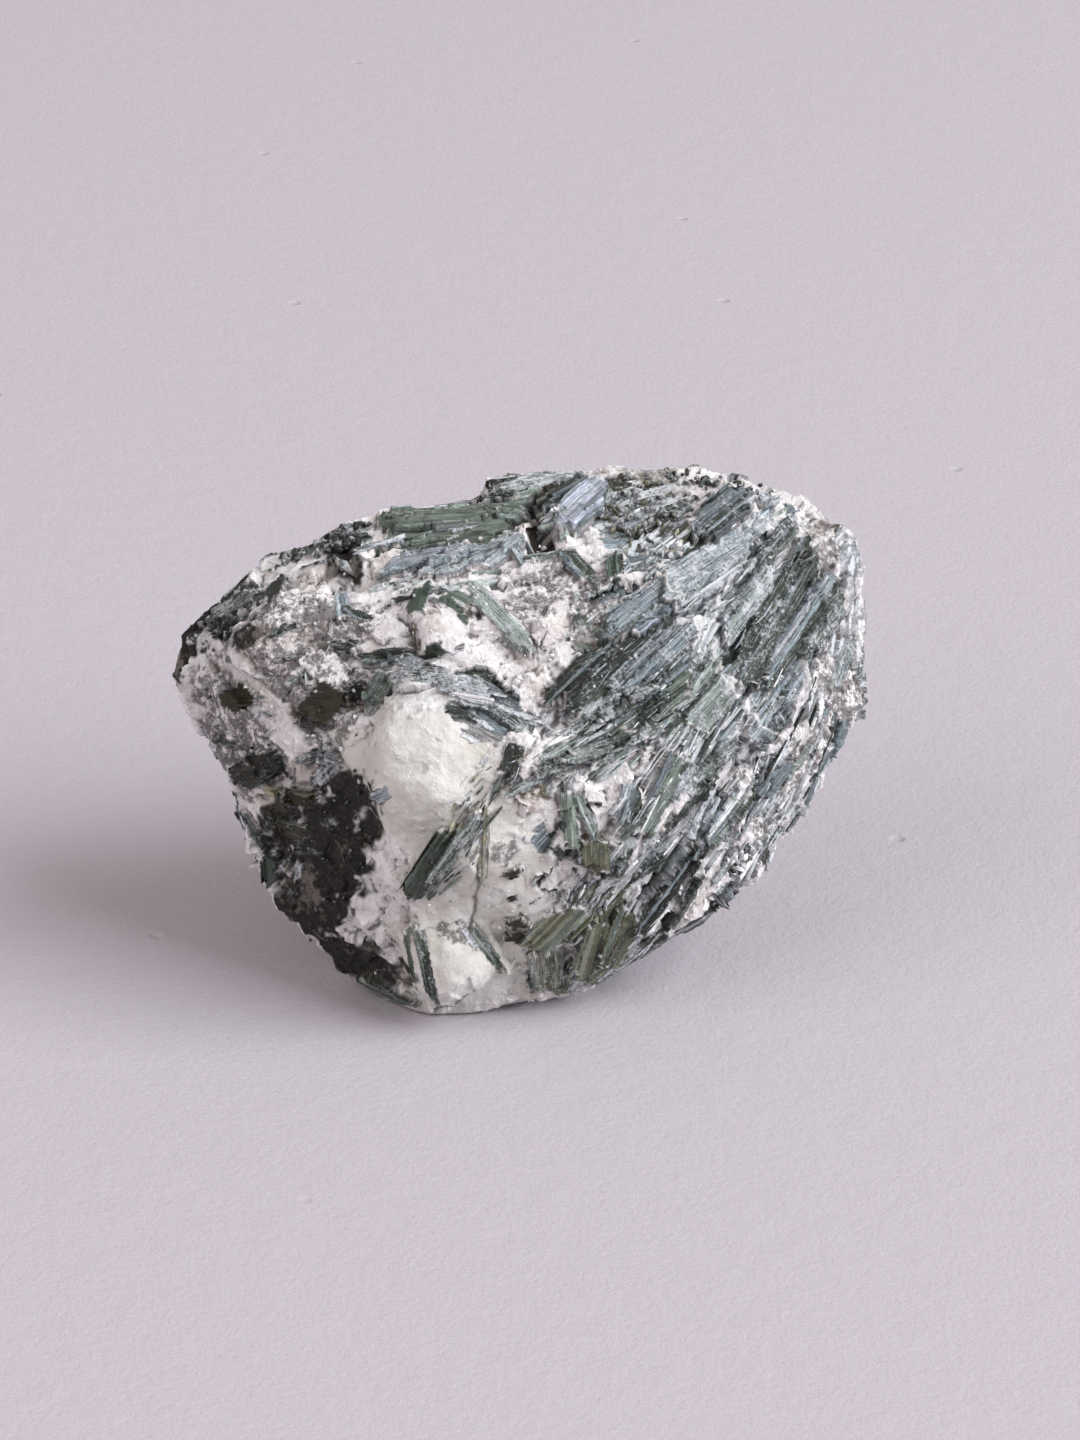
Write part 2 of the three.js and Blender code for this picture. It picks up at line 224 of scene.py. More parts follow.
# Patches on the best face, by kind: middle (u, v), half sizes, turn in degrees.
rockPatches = {
    "cream": [
        ((-17.5, -9), (14, 15), 15), ((-9, -26), (13, 20), 12), ((-14, -39), (12, 8), 0),
        ((-27, -7), (7, 8), 20),
    ],
    "bladed": [
        ((28, 2), (24, 36), -30), ((45, 12), (8, 26), 0), ((12, 0), (13, 5), 33),
        ((12, -32), (10, 9), 20), ((7.5, -40.5), (8.5, 4.6), 10), ((16, 33), (8, 8), 0),
        ((-12, 31), (15, 3.4), 12), ((-1, 36.5), (11, 4), 6), ((-17, 6), (11, 5.6), -12),
        ((-8, 1.5), (6, 5), -35), ((-50, 18), (8, 4), 42), ((-34, 27.5), (7, 3.2), 20),
    ],
    # Most charcoal patches are dark charcoal rock; the two at (-31.2, 25) and (-0.4, 30.4) are painted
    # shade in deep holes by the ledge and beside the sheen crystal.
    "charcoal_and_hole_shade": [
        ((-33.5, -21), (7.4, 12), -14), ((-36, -30), (6, 6), 20), ((-30, -38), (11, 4), -22),
        ((-30, -11.5), (4.5, 3), -30), ((-41, -17), (3.4, 6), -10), ((-31.2, 25), (3, 3.8), 10),
        ((-0.4, 30.4), (1.9, 3.8), 8), ((-53, 16.5), (4, 2), 45), ((-57, 11), (2, 5.6), -12),
        ((-47.6, 13.6), (3.4, 2.2), 0), ((-25, 5), (2, 1.4), 0),
    ],
    # Brown stains; the patch at (-19.6, 13.4) is a painted shadow on the left side of the knob.
    "brown_stain_and_shade": [
        ((17, 33), (7, 8.5), 0), ((-0.3, -11.6), (3.4, 1.5), 15), ((-19.6, 13.4), (1.2, 2.8), 0),
        ((-2.4, 32), (1.8, 3), 0), ((10, -22), (4, 5), 0), ((-9.6, 17.6), (2.6, 1.4), 30),
    ],
    # Speckled grey rock; the patches on the nose, around (-42, 8), are also made darker as painted shade
    # where the nose turns from the light.
    "speckle_and_shade": [
        ((-12.5, -33.5), (3.4, 2), -10), ((-42, 8), (15, 11), 35), ((-36, 4), (9, 10), 30),
        ((-48, -4), (7, 9), 25), ((0.4, 20.6), (8, 3), 32), ((-44, 14), (13, 6), 35),
        ((-30, 15), (6, 3.5), 20), ((-5.5, -20.5), (2.6, 2.2), 0), ((9, 18), (5, 6), -20),
        ((47, 10), (7, 24), 0), ((40, -10), (10, 8), 50),
    ],
    "smooth": [
        ((-44, 2.9), (14, 2.4), -52), ((-15.5, 12.8), (4, 3.4), 0), ((-24, 21), (5, 2), 20),
    ],
    "bare": [
        ((9.6, -11.5), (4, 6), -35), ((26.8, -22.7), (6.4, 1.8), 50), ((29.2, -12), (8, 1.4), 42),
        ((20.6, -15.4), (5, 1.5), 55), ((23.4, -30.4), (5, 1.2), 48), ((18.6, -9.4), (2, 4), -30),
        ((30.6, -24.6), (3, 1.4), 40), ((33, -16.5), (2.6, 1.8), 40), ((44.4, 29), (2.4, 7), 18),
        ((47.4, 5.6), (3, 7), 20), ((38.6, -3.4), (4.4, 1.2), 45), ((31, -21.5), (7, 2.4), 50),
        ((42, -6), (7, 2.6), 52), ((18.4, -17), (4.4, 1.8), 52), ((16, -6.6), (7, 2), 28),
    ],
}

# How the blades grow. For a view (azimuth, elevation): the place in it as u, v, then the heading of
# the grain there, the width of the blades and their tones.
growthByView = {
    (0, 25): [
        (28, 22, 46, 4.5, ("slate", "steel", "slate", "sage", "moss", "frost")),
        (15, 11, 42, 4.2, ("slate", "slate", "steel", "moss", "sage")),
        (37, 16, 57, 4.0, ("moss", "slate", "sage", "forest", "celadon")),
        (30, 33, 44, 3.0, ("graphite", "slate", "moss", "ash")),
        (41, 31, 40, 1.6, ("salt", "salt", "ash", "slate")),
        (48, 12, 74, 1.5, ("frost", "ash", "salt", "slate", "salt")),
        (46, -6, 62, 1.4, ("frost", "salt", "slate", "ash")),
        (33, 0, 50, 3.0, ("slate", "steel", "sage", "frost", "moss", "salt")),
        (24, -3, 48, 2.6, ("sage", "celadon", "frost", "salt", "moss")),
        (28, -14, 53, 1.9, ("steel", "slate", "frost", "salt", "salt", "frost", "salt", "sage")),
        (20, -26, 58, 2.0, ("forest", "moss", "steel", "frost", "salt", "salt")),
        (10, -12, 60, 2.4, ("salt", "salt", "ash", "sage")),
        (14, -20, 66, 2.0, ("salt", "slate", "moss", "ash")),
        (10, 0, 33, 1.8, ("sage", "moss", "frost", "salt", "forest")),
        (-3, -6, 42, 1.5, ("moss", "forest", "sage", "ash")),
        (10, -35, 62, 2.8, ("olive", "lichen", "moss", "olive")),
        (34, -22, 40, 1.2, ("ash", "moss", "bark", "salt")),
        (5, -41, 82, 2.6, ("olive", "lichen", "sage", "moss")),
        (16, 33, 70, 1.5, ("bark", "olive", "sage", "ash", "moss")),
        (24, 37, 30, 1.4, ("salt", "salt", "ash")),
        (-2, 35, 20, 2.6, ("moss", "bark", "forest")),
        (-18, 30, 8, 3.0, ("moss", "forest", "sage")),
        (-17, 6, 15, 2.2, ("slate", "ash", "sage", "moss", "frost")),
        (-8, 1, -40, 1.8, ("slate", "moss", "ash", "forest")),
        (-50, 17, 55, 1.8, ("forest", "moss", "pitch", "ash")),
        (-35, 27, 25, 1.6, ("forest", "pitch", "moss", "ash")),
    ],
    (90, 5): [
        (2, 12, 58, 3.0, ("slate", "sage", "frost", "moss")),
        (-14, -6, 64, 2.2, ("moss", "slate", "ash", "forest")),
        (18, -4, 50, 3.4, ("slate", "steel", "sage", "moss")),
    ],
    (180, 10): [
        (-24, 10, 118, 3.6, ("slate", "moss", "sage", "steel")),
        (-18, -14, 100, 2.4, ("forest", "moss", "slate", "ash")),
        (12, 8, 72, 3.6, ("sage", "slate", "celadon", "moss")),
        (32, -6, 48, 2.2, ("moss", "forest", "slate", "ash")),
    ],
    (270, 5): [
        (4, 6, 36, 2.4, ("moss", "forest", "slate", "ash")),
        (-10, -14, 70, 1.8, ("pitch", "bark", "moss")),
    ],
    (0, 80): [
        (12, 10, 24, 3.2, ("slate", "sage", "moss", "steel")),
        (-24, 8, 10, 2.4, ("moss", "ash", "forest", "slate")),
    ],
    (90, -50): [
        (0, 0, 100, 3.0, ("moss", "slate", "ash")),
    ],
    (215, -50): [
        (0, 0, 150, 3.0, ("moss", "sage", "ash")),
    ],
}
growth = [(view, *row) for view, rows in growthByView.items() for row in rows]

# Cracks and creases on the best face: the line in (u, v), half width and depth.
creases = [
    ([(-7.5, -12.5), (-4, -7.5), (0, -3), (2.8, 0)], 0.6, 0.8),
    ([(-52.3, 16), (-41, 3), (-33, -4), (-28.8, -10.9), (-25.5, -13)], 0.7, 0.6),
    ([(-27.5, -14), (-25, -20), (-21, -28), (-22, -34)], 0.9, 0.8),
    ([(-9, -14), (-9.4, -24), (-10.5, -33)], 0.6, 0.7),
    ([(-10.5, 19.6), (-9.8, 16.6)], 0.5, 0.9),
    ([(6, -14), (8, -24), (4, -30)], 0.8, 0.8),
    ([(0.6, 12.5), (4.5, 14), (8.6, 12)], 0.9, 1.0),
    ([(30.4, 17), (32.4, 21), (35.4, 25)], 0.4, 0.6),
    ([(-1.2, 33.4), (-0.4, 30), (0.8, 27.2)], 1.2, 2.2),
    ([(-31.6, 28.4), (-30.2, 23)], 1.2, 1.4),
    ([(-21.4, 16), (-19.4, 10.4), (-13, 8.8)], 0.8, 0.8),
    ([(-38.6, 1), (-33.4, -1.6), (-29, 4)], 0.7, 0.6),
]

# Round swellings of the rock on the best face: the middle (u, v), the radius and the height.
knobs = [
    ((-15.5, 12.8), 4.2, 1.3),
    ((-20, -7), 9.0, 0.7),
    ((-12, -40), 6.0, 0.6),
]

# Pale veins across the blades: the line in (u, v), and its half width.
veins = [
    ([(29.7, 21.8), (27.2, 14.8), (28.4, 7.3), (32.9, 2.2)], 0.32),
    ([(18.6, 22.8), (20.4, 19.6), (22.4, 18.4)], 0.2),
    ([(21.2, 28.6), (17.8, 24.6), (12.8, 22.4)], 0.25),
    ([(36, -2), (31, 4.5), (28.6, 9)], 0.25),
    ([(24, -6.6), (17.5, -2.4), (13, -1)], 0.3),
    ([(41.6, 3), (36.4, -4.6), (33, -7)], 0.3),
]


def patchWeight(kind, points, u, v, turned):
    weight = np.zeros(len(points))
    edge = 0.4 * noiseAt(points, 3.4, 4.0) + 0.3 * noiseAt(points, 1.3, 9.0)
    for (pu, pv), (a, b), turn in rockPatches[kind]:
        c, s = math.cos(math.radians(turn)), math.sin(math.radians(turn))
        du, dv = u - pu, v - pv
        radius = np.hypot((du * c + dv * s) / a, (-du * s + dv * c) / b)
        weight = np.maximum(weight, 1 - smoothStep(radius + edge, 0.82, 1.08))
    return weight * turned


def distanceToLine(line, u, v):
    nearest = np.full(len(u), 1e9)
    for (u0, v0), (u1, v1) in zip(line, line[1:]):
        du, dv = u1 - u0, v1 - v0
        t = np.clip(((u - u0) * du + (v - v0) * dv) / (du * du + dv * dv), 0, 1)
        nearest = np.minimum(nearest, np.hypot(u - u0 - t * du, v - v0 - t * dv))
    return nearest


def remeshed(one, voxel, melt):
    remesh = one.modifiers.new("remesh", "REMESH")
    remesh.mode = "VOXEL"
    remesh.voxel_size = voxel * mm
    smooth = one.modifiers.new("smooth", "SMOOTH")
    smooth.factor = 0.5
    smooth.iterations = melt
    finishModifiers(one)


def meltedRock(name, stages):
    deselectAll()
    skin = bpy.data.objects.new(name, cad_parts["stone"].data.copy())
    bpy.context.scene.collection.objects.link(skin)
    activate(skin)
    bpy.ops.object.mode_set(mode="EDIT")
    bpy.ops.mesh.select_all(action="SELECT")
    bpy.ops.mesh.remove_doubles(threshold=0.01 * mm)
    bpy.ops.object.mode_set(mode="OBJECT")
    for stage in stages:
        remeshed(skin, rockForm[stage]["voxel"], rockForm[stage]["melt"])
    return skin


class Shelf:
    # points sorted along X, so that those near a place are found quickly
    def __init__(self, points):
        self.order = np.argsort(points[:, 0])
        self.points = points[self.order]

    def near(self, centre, reach):
        low, high = np.searchsorted(self.points[:, 0], (centre[0] - reach, centre[0] + reach))
        rel = self.points[low:high] - centre
        close = np.abs(rel[:, 1:]).max(axis=1) < reach
        return self.order[low:high][close], rel[close]


def warped(points, amount, size):
    return points + amount * np.stack([noiseAt(points, size, seed) for seed in (31, 37, 41)], axis=1)


def shareOut(points, centre, along, side, up, width, stretch):
    # the owner of each point: the nearest centre, in a measure drawn out along that centre's own grain
    shelf = Shelf(points)
    owner = np.zeros(len(points), int)
    best = np.full(len(points), 1e9)
    for i in range(len(centre)):
        hit, rel = shelf.near(centre[i], width[i] * stretch)
        far = ((rel @ along[i]) / stretch) ** 2 + (rel @ side[i]) ** 2 + 0.5 * (rel @ up[i]) ** 2
        far /= width[i] ** 2
        nearer = far < best[hit]
        owner[hit[nearer]] = i
        best[hit[nearer]] = far[nearer]
    return owner


def unit(rows):
    return rows / np.linalg.norm(rows, axis=1, keepdims=True)


def dot(a, b):
    return np.einsum("ij,ij->i", a, b)


def flattened(points, owner, centre, along, side, up, level, hold):
    # every point is drawn onto its owner's plane; gives the points and their place along the grain
    rel = points - centre[owner]
    reach = cellSpread["reach"]
    away = np.clip(level[owner] - dot(rel, up[owner]), -reach, reach) * hold
    return points + up[owner] * away[:, None], dot(rel, along[owner]), dot(rel, side[owner])


def tangents(normals, ways):
    along = unit(ways - normals * dot(ways, normals)[:, None])
    return along, np.cross(normals, along)


def cragged(points, normals, form, hold, draw):
    chosen = draw.choice(len(points), form["count"], replace=False)
    up = unit(normals[chosen] + draw.normal(0, form["tilt"], (len(chosen), 3)))
    along, side = tangents(up, draw.normal(0, 1, (len(chosen), 3)))
    width = form["width"] * np.exp(draw.normal(0, cellSpread["width"], len(chosen)))
    loose = warped(points, form["warp"], form["width"] * 0.6)
    owner = shareOut(loose, points[chosen], along, side, up, width, form["stretch"] * 1.6)
    level = draw.normal(0, form["step"], len(chosen))
    moved, _, _ = flattened(points, owner, points[chosen], along, side, up, level, form["hold"] * hold)
    return moved, draw.random(len(chosen))[owner]


def growthPlaces(carrier):
    # where the grain's headings are known, and which way it runs there
    places, ways = [], []
    for direction, u, v, heading, _, _ in growth:
        view = viewFrom(*direction)
        hit, _ = spot(carrier, view, u, v)
        h = math.radians(heading)
        places.append(hit or seenAt(view, u, v))
        ways.append(view["across"] * math.cos(h) + view["up"] * math.sin(h))
    return np.array(places), np.array(ways)


def cleaved(points, normals, bladed, places, ways, form, draw):
    # flat cleaved cells along the grain; form["narrow"] is their share of the blades' width
    inside = np.flatnonzero(bladed > cleaving["inside"])
    chosen = draw.choice(inside, form["count"], replace=False)
    centre = points[chosen]
    gap = ((centre[:, None, :] - places[None, :, :]) ** 2).sum(axis=2)
    weight = 1 / (gap + cleaving["calm"]) ** 2
    home = np.argmin(gap * np.exp(draw.normal(0, cleaving["stray"], gap.shape)), axis=1)
    width = np.array([growth[i][4] for i in home]) * form["narrow"]
    share = (cleaving["common"] * form["narrow"] / width) ** cleaving["thinning"]
    keep = draw.random(len(chosen)) < np.clip(share, cleaving["fewest"], 1)
    centre, weight, home, width = centre[keep], weight[keep], home[keep], width[keep]
    up = normals[chosen][keep]
    way = unit(weight @ ways) + draw.normal(0, cleaving["sway"], (len(centre), 3))
    along, side = tangents(up, way)
    roll = draw.normal(0, form["roll"], len(centre))[:, None]
    pitch = draw.normal(0, form["pitch"], len(centre))[:, None]
    up = unit(up + side * roll + along * pitch)
    along, side = tangents(up, along)
    loose = warped(points, form["warp"], cleaving["warp"])
    owner = shareOut(loose, centre, along, side, up, width, form["stretch"])
    level = draw.normal(0, form["step"], len(centre))
    hold = form["hold"] * bladed
    moved, x, y = flattened(points, owner, centre, along, side, up, level, hold)
    return moved, owner, home, x, y


def hollows(mesh, points, normals, rounds):
    # how deep each point lies in a crevice, in mm, and below nought on a ridge
    edges = np.empty(len(mesh.edges) * 2, np.int32)
    mesh.edges.foreach_get("vertices", edges)
    a, b = edges.reshape(-1, 2).T
    count = len(points)
    degree = np.bincount(a, minlength=count) + np.bincount(b, minlength=count)
    calm = points
    for _ in range(rounds):
        sums = [np.bincount(a, calm[b, i], count) + np.bincount(b, calm[a, i], count) for i in range(3)]
        calm = np.stack(sums, axis=1) / degree[:, None]
    return dot(calm - points, normals)


pressing = {
    "facing": 0.4,  # the skin takes a blade only where it faces it this squarely
    "reach": 3,  # and lies this near to its plane
    "down": 1.6,
    "up": 1.1,
    "end": (-0.1, 0.4),  # over this much of its length a blade's end fades into the rock
    "ragged": 1.2,
}


def pressSlabs(points, normals, slabs, tint, blade, dust, grain):
    # the skin is flattened onto each blade's terraces, and takes its tone and the run of its grain
    shelf = Shelf(points)
    ragged = noiseAt(points, pressing["ragged"], 51.0)
    for slab in slabs:
        centre, along, side, up = (np.array(slab[key]) for key in ("centre", "along", "side", "up"))
        close, rel = shelf.near(centre, slab["long"] / 2 + slab["wide"])
        y = rel @ side
        x = rel @ along - slab["slant"] * y
        z = rel @ up
        facing = (normals[close] @ up > pressing["facing"]) & (np.abs(z) < pressing["reach"])
        for y0, y1, first, last, high, roll, shade in slab["strips"]:
            on = facing & (y >= y0) & (y < y1) & (x > first) & (x < last)
            hit = close[on]
            if not len(hit):
                continue
            wanted = high + roll * (y[on] - (y0 + y1) / 2)
            points[hit] += np.clip(wanted - z[on], -pressing["down"], pressing["up"])[:, None] * up
            if slab["bare"]:
                blade[hit] = 0
                continue
            tint[hit] = shade
            inward = np.minimum(x[on] - first, last - x[on])
            blade[hit] = smoothStep(inward + slab["wear"] * ragged[hit], *pressing["end"])
            dust[hit] = slab["dust"]
            grain[hit] = np.stack([x[on] + slab["shift"], y[on] + slab["shift"]], axis=1)


def kindsOfRock(points, u, v, turned):
    # the share of each kind of rock at each point, and how free it is of anything that calms it
    weights = {kind: patchWeight(kind, points, u, v, turned) for kind in rockPatches}
    hidden = 1 - turned
    broad = noiseAt(points, farBlades["size"], 3.0) + 0.5 * noiseAt(points, farBlades["detail"], 5.0)
    weights["bladed"] = np.maximum(weights["bladed"], hidden * smoothStep(broad, *farBlades["range"]))
    smooth, bare = weights.pop("smooth"), weights.pop("bare")
    weights["bladed"] *= (1 - weights["charcoal_and_hole_shade"]) * (1 - bare)
    for kind, size, seed, span in farPatches:
        weights[kind] = np.maximum(weights[kind], hidden * smoothStep(noiseAt(points, size, seed), *span))
    weights["speckle_and_shade"] *= 1 - 0.8 * smooth
    calm = 1 - calming["cream"] * np.maximum(weights["cream"], smooth)
    return weights, calm * (1 - calming["speckle_and_shade"] * weights["speckle_and_shade"])


def grownBlades(moved, normals, bladed, carrier, draw):
    # the bladed rock in cleaved cells and finer laths, with the tone, dust and grain of each point
    places, ways = growthPlaces(carrier)
    moved, owner, home, x, y = cleaved(moved, normals, bladed, places, ways, cells["blade"], draw)
    tint = np.array([tones[oneOf(growth[i][5], draw)] for i in home])
    tint *= np.exp(draw.normal(0, cellTones["spread"], (len(home), 1)))
    pale = tint.mean(axis=1) > cellTones["pale"]
    tint = tint[owner]
    blade = (bladed > 0.5) * (1 - cellTones["paleTalc"] * pale[owner])
    dust = draw.uniform(*cellTones["dust"], len(home))[owner]
    shift = draw.uniform(0, cellTones["shift"], (len(home), 2))[owner]
    grain = np.stack([x, y], axis=1) + shift
    green = blade > 0.5
    moved, owner, home, _, _ = cleaved(moved, normals, bladed * green, places, ways, cells["lath"], draw)
    tint *= np.exp(draw.normal(0, cellTones["threadSpread"], len(home)))[owner][:, None]
    white = (draw.random(len(home)) < cellTones["white"])[owner] * green
    tint[white] = tones["frost"]
    dust[white] = cellTones["whiteDust"]
    return moved, tint, blade, dust, grain


def roughness(kind, points, seed):
    return rockForm[kind]["height"] * noiseAt(points, rockForm[kind]["size"], seed)


def cracksAndKnobs(points, u, v, turned):
    push = np.zeros(len(points))
    for line, half, depth in creases:
        away = distanceToLine(line, u + 0.5 * noiseAt(points, 2.5, 20.0), v)
        push -= depth * np.exp(-((away / half) ** 2)) * turned
    for (ku, kv), radius, height in knobs:
        push += height * np.exp(-((np.hypot(u - ku, v - kv) / radius) ** 4)) * turned
    return push


def cutVeins(points, u, v, turned, blade):
    for line, half in veins:
        wavyU, wavyV = u + 0.7 * noiseAt(points, 2.0, 23.0), v + 0.7 * noiseAt(points, 2.0, 27.0)
        away = distanceToLine(line, wavyU, wavyV)
        blade *= 1 - np.exp(-((away / half) ** 2)) * turned


def painted(mesh, values, tint, grain):
    # what the material reads: values and a tint at each point, and the grain as a UV map
    for name, value in values.items():
        mesh.attributes.new(name, "FLOAT", "POINT").data.foreach_set("value", value.astype(np.float32))
    colour = np.concatenate([tint, np.ones((len(tint), 1))], axis=1).astype(np.float32)
    mesh.attributes.new("tint", "FLOAT_COLOR", "POINT").data.foreach_set("color", colour.ravel())
    loops = np.empty(len(mesh.loops), np.int32)
    mesh.loops.foreach_get("vertex_index", loops)
    mesh.uv_layers.new(name="grain").data.foreach_set("uv", grain[loops].astype(np.float32).ravel())


def hostRock(slabs, carrier, draw):
    rock = meltedRock("host_rock", ("coarse", "fine"))
    mesh = rock.data
    points = vertexArray(mesh) / mm
    normals = normalArray(mesh)
    print("host rock:", len(mesh.polygons), "faces")
    u, v = viewCoordinates(points)
    turned = smoothStep(normals @ np.array(face["toward"]), 0.02, 0.3)
    weights, calm = kindsOfRock(points, u, v, turned)
    bladed = weights["bladed"]
    moved = points - normals * rockForm["sink"]
    moved += normals * roughness("lumps", points, 1.0)[:, None]
    moved, facet = cragged(moved, normals, cells["crag"], calm * (1 - calming["bladed"] * bladed), draw)
    moved, chip = cragged(moved, normals, cells["chip"], calm * (1 - bladed), draw)
    moved, tint, blade, dust, grain = grownBlades(moved, normals, bladed, carrier, draw)
    push = roughness("grain", points, 2.0) * (1 - 0.8 * blade)
    push += cracksAndKnobs(points, u, v, turned)
    moved += normals * push[:, None]
    pressSlabs(moved, normals, slabs, tint, blade, dust, grain)
    cutVeins(points, u, v, turned, blade)
    fine = (1 - 0.8 * blade) * (1 - 0.6 * weights["cream"])
    moved += normals * (roughness("sugar", points, 6.0) * fine)[:, None]
    level = smoothStep(points[:, 2], *rockForm["foot"])[:, None]
    moved = insideBox(points + (moved - points) * level)
    moved[:, 2] = np.maximum(moved[:, 2], 0)
    # Crevice depth per point, 0 on ridges and 1 in full crevices; the material paints shade into crevices
    # and a highlight onto ridges from it.
    form = rockForm["hollow"]
    hollow = 0.5 + 0.5 * np.clip(hollows(mesh, moved, normals, form["rounds"]) / form["full"], -1, 1)
    mesh.vertices.foreach_set("co", (moved * mm).astype(np.float32).ravel())
    mesh.update()
    values = {**weights, "blade": blade, "dust": dust, "facet": 0.6 * facet + 0.4 * chip, "hollow": hollow}
    painted(mesh, values, np.clip(tint, *toneLimits), grain)
    return rock


def cutRock(rock, names):
    # four parts of equal size that meet edge to edge, each one closed by a fan to its middle
    middles = np.empty(len(rock.data.polygons) * 3, np.float32)
    rock.data.polygons.foreach_get("center", middles)
    x, y, _ = middles.reshape(-1, 3).T
    behind = y > np.median(y)
    owners = np.where(behind, 2 + (x > np.median(x[behind])), x > np.median(x[~behind]))
    parts = []
    for i, name in enumerate(names):
        part = bpy.data.objects.new(name, rock.data.copy())
        bpy.context.scene.collection.objects.link(part)
        activate(part)
        bpy.ops.object.mode_set(mode="EDIT")
        bpy.ops.mesh.select_mode(type="FACE")
        bpy.ops.mesh.select_all(action="DESELECT")
        bpy.ops.object.mode_set(mode="OBJECT")
        part.data.polygons.foreach_set("select", owners != i)
        bpy.ops.object.mode_set(mode="EDIT")
        bpy.ops.mesh.delete(type="FACE")
        bpy.ops.mesh.select_mode(type="EDGE")
        bpy.ops.mesh.select_non_manifold(
            use_wire=False, use_multi_face=False, use_non_contiguous=False, use_verts=False
        )
        bpy.ops.mesh.extrude_edges_move()
        bpy.ops.mesh.select_mode(type="VERT")
        bpy.ops.mesh.merge(type="CENTER")
        bpy.ops.object.mode_set(mode="OBJECT")
        bpy.ops.object.shade_smooth_by_angle(angle=math.radians(rockForm["crisp"]))
        print(name + ":", sum(len(one.vertices) - 2 for one in part.data.polygons), "triangles")
        parts.append(part)
    bpy.data.objects.remove(rock)
    return parts


# Crystals: a few masters modelled once, then copied in arrays.
def masterMesh(name, shapeIt):
    deselectAll()
    bpy.ops.mesh.primitive_cube_add(size=1)
    one = bpy.context.active_object
    one.name = name
    bpy.ops.object.mode_set(mode="EDIT")
    shapeIt()
    bpy.ops.object.mode_set(mode="OBJECT")
    points = vertexArray(one.data)
    loops = np.array([i for polygon in one.data.polygons for i in polygon.vertices])
    counts = np.array([len(polygon.vertices) for polygon in one.data.polygons])
    mesh = one.data
    bpy.data.objects.remove(one)
    bpy.data.meshes.remove(mesh)
    return {"points": points, "loops": loops, "counts": counts}


def cutAcross(places):
    for x in places:
        bpy.ops.mesh.select_all(action="SELECT")
        bpy.ops.mesh.bisect(plane_co=(x, 0, 0), plane_no=(1, 0, 0))


def lathShape():
    bpy.ops.mesh.select_all(action="SELECT")
    bpy.ops.mesh.bisect(plane_co=(0, 0.12, 0), plane_no=(0, 1, 0))
    cutAcross((-0.3, 0.02, 0.32))


def chipShape():
    bpy.ops.mesh.select_all(action="SELECT")
    bpy.ops.mesh.bisect(plane_co=(0, -0.05, 0), plane_no=(0, 1, 0))


def shapedLath():
    # unit long and wide, top at 1 and bottom at 0; the ridge stands highest and the ends slope
    lath = masterMesh("lath", lathShape)
    p = lath["points"]
    p[:, 2] += 0.5
    top = p[:, 2] > 0.5
    side = np.abs(p[:, 1]) > 0.4
    end = np.abs(p[:, 0]) > 0.45
    p[top & side, 1] *= 0.93
    p[top & side, 2] = 0.975
    p[top & end, 0] *= 0.97
    p[top & end, 2] -= 0.02
    return lath


def shapedChip():
    chip = masterMesh("chip", chipShape)
    p = chip["points"]
    p[:, 2] += 0.5
    top = p[:, 2] > 0.5
    side = np.abs(p[:, 1]) > 0.4
    p[top & side, 1] *= 0.7
    p[top & side, 2] = 0.85
    p[top, 0] *= 0.86
    return chip


class Bed:
    def __init__(self, master):
        self.master = master
        self.rows = []

    def add(self, centre, along, side, up, size, skew, taper, tint, dust):
        # size is the length, the width, and how far it stands above and reaches below its centre
        self.rows.append((*centre, *along, *side, *up, *size, skew, taper, *tint, dust))


def bedPiece(name, bed, material):
    rows = np.array(bed.rows)
    master = bed.master["points"]
    n, m = len(rows), len(master)
    centre, along, side, up = (rows[:, i:i + 3] for i in (0, 3, 6, 9))
    long, wide, high, deep, skew, taper = (rows[:, i:i + 1] for i in range(12, 18))
    x, y, z = (master[None, :, i] for i in range(3))
    draw = np.random.default_rng(n)
    wander = 1 + 0.16 * draw.uniform(-1, 1, (n, m))
    slim = 1 - taper * np.clip(np.abs(x) * 2 - 0.2, 0, 1)
    px = x * long + skew * y * wide
    py = y * wide * slim * wander
    pz = -deep + z * (high + deep)
    points = (
        centre[:, None, :]
        + px[:, :, None] * along[:, None, :]
        + py[:, :, None] * side[:, None, :]
        + pz[:, :, None] * up[:, None, :]
    )
    points = insideBox(points)
    loops = (bed.master["loops"][None, :] + (np.arange(n) * m)[:, None]).ravel()
    counts = np.tile(bed.master["counts"], n)
    starts = np.concatenate(([0], np.cumsum(counts)[:-1]))
    mesh = bpy.data.meshes.new(name)
    mesh.vertices.add(n * m)
    mesh.loops.add(len(loops))
    mesh.polygons.add(len(counts))
    mesh.vertices.foreach_set("co", (points * mm).astype(np.float32).ravel())
    mesh.polygons.foreach_set("loop_start", starts.astype(np.int32))
    mesh.loops.foreach_set("vertex_index", loops.astype(np.int32))
    mesh.update(calc_edges=True)
    mesh.validate()
    offset = draw.uniform(0, 400, (n, 2))
    grain = np.stack([px + offset[:, :1], y * wide + offset[:, 1:]], axis=2).reshape(-1, 2)
    painted(mesh, {"dust": np.repeat(rows[:, 21], m)}, np.repeat(rows[:, 18:21], m, axis=0), grain)
    one = bpy.data.objects.new(name, mesh)
    bpy.context.scene.collection.objects.link(one)
    mesh.materials.append(material)
    print(name + ":", n, "crystals,", int((counts - 2).sum()), "triangles")
    return one


def linear(red, green, blue):
    # a colour as the eye names it, 0 to 255, as the light it gives back
    parts = (c / 255 for c in (red, green, blue))
    return tuple(c / 12.92 if c <= 0.04 else ((c + 0.055) / 1.055) ** 2.4 for c in parts)


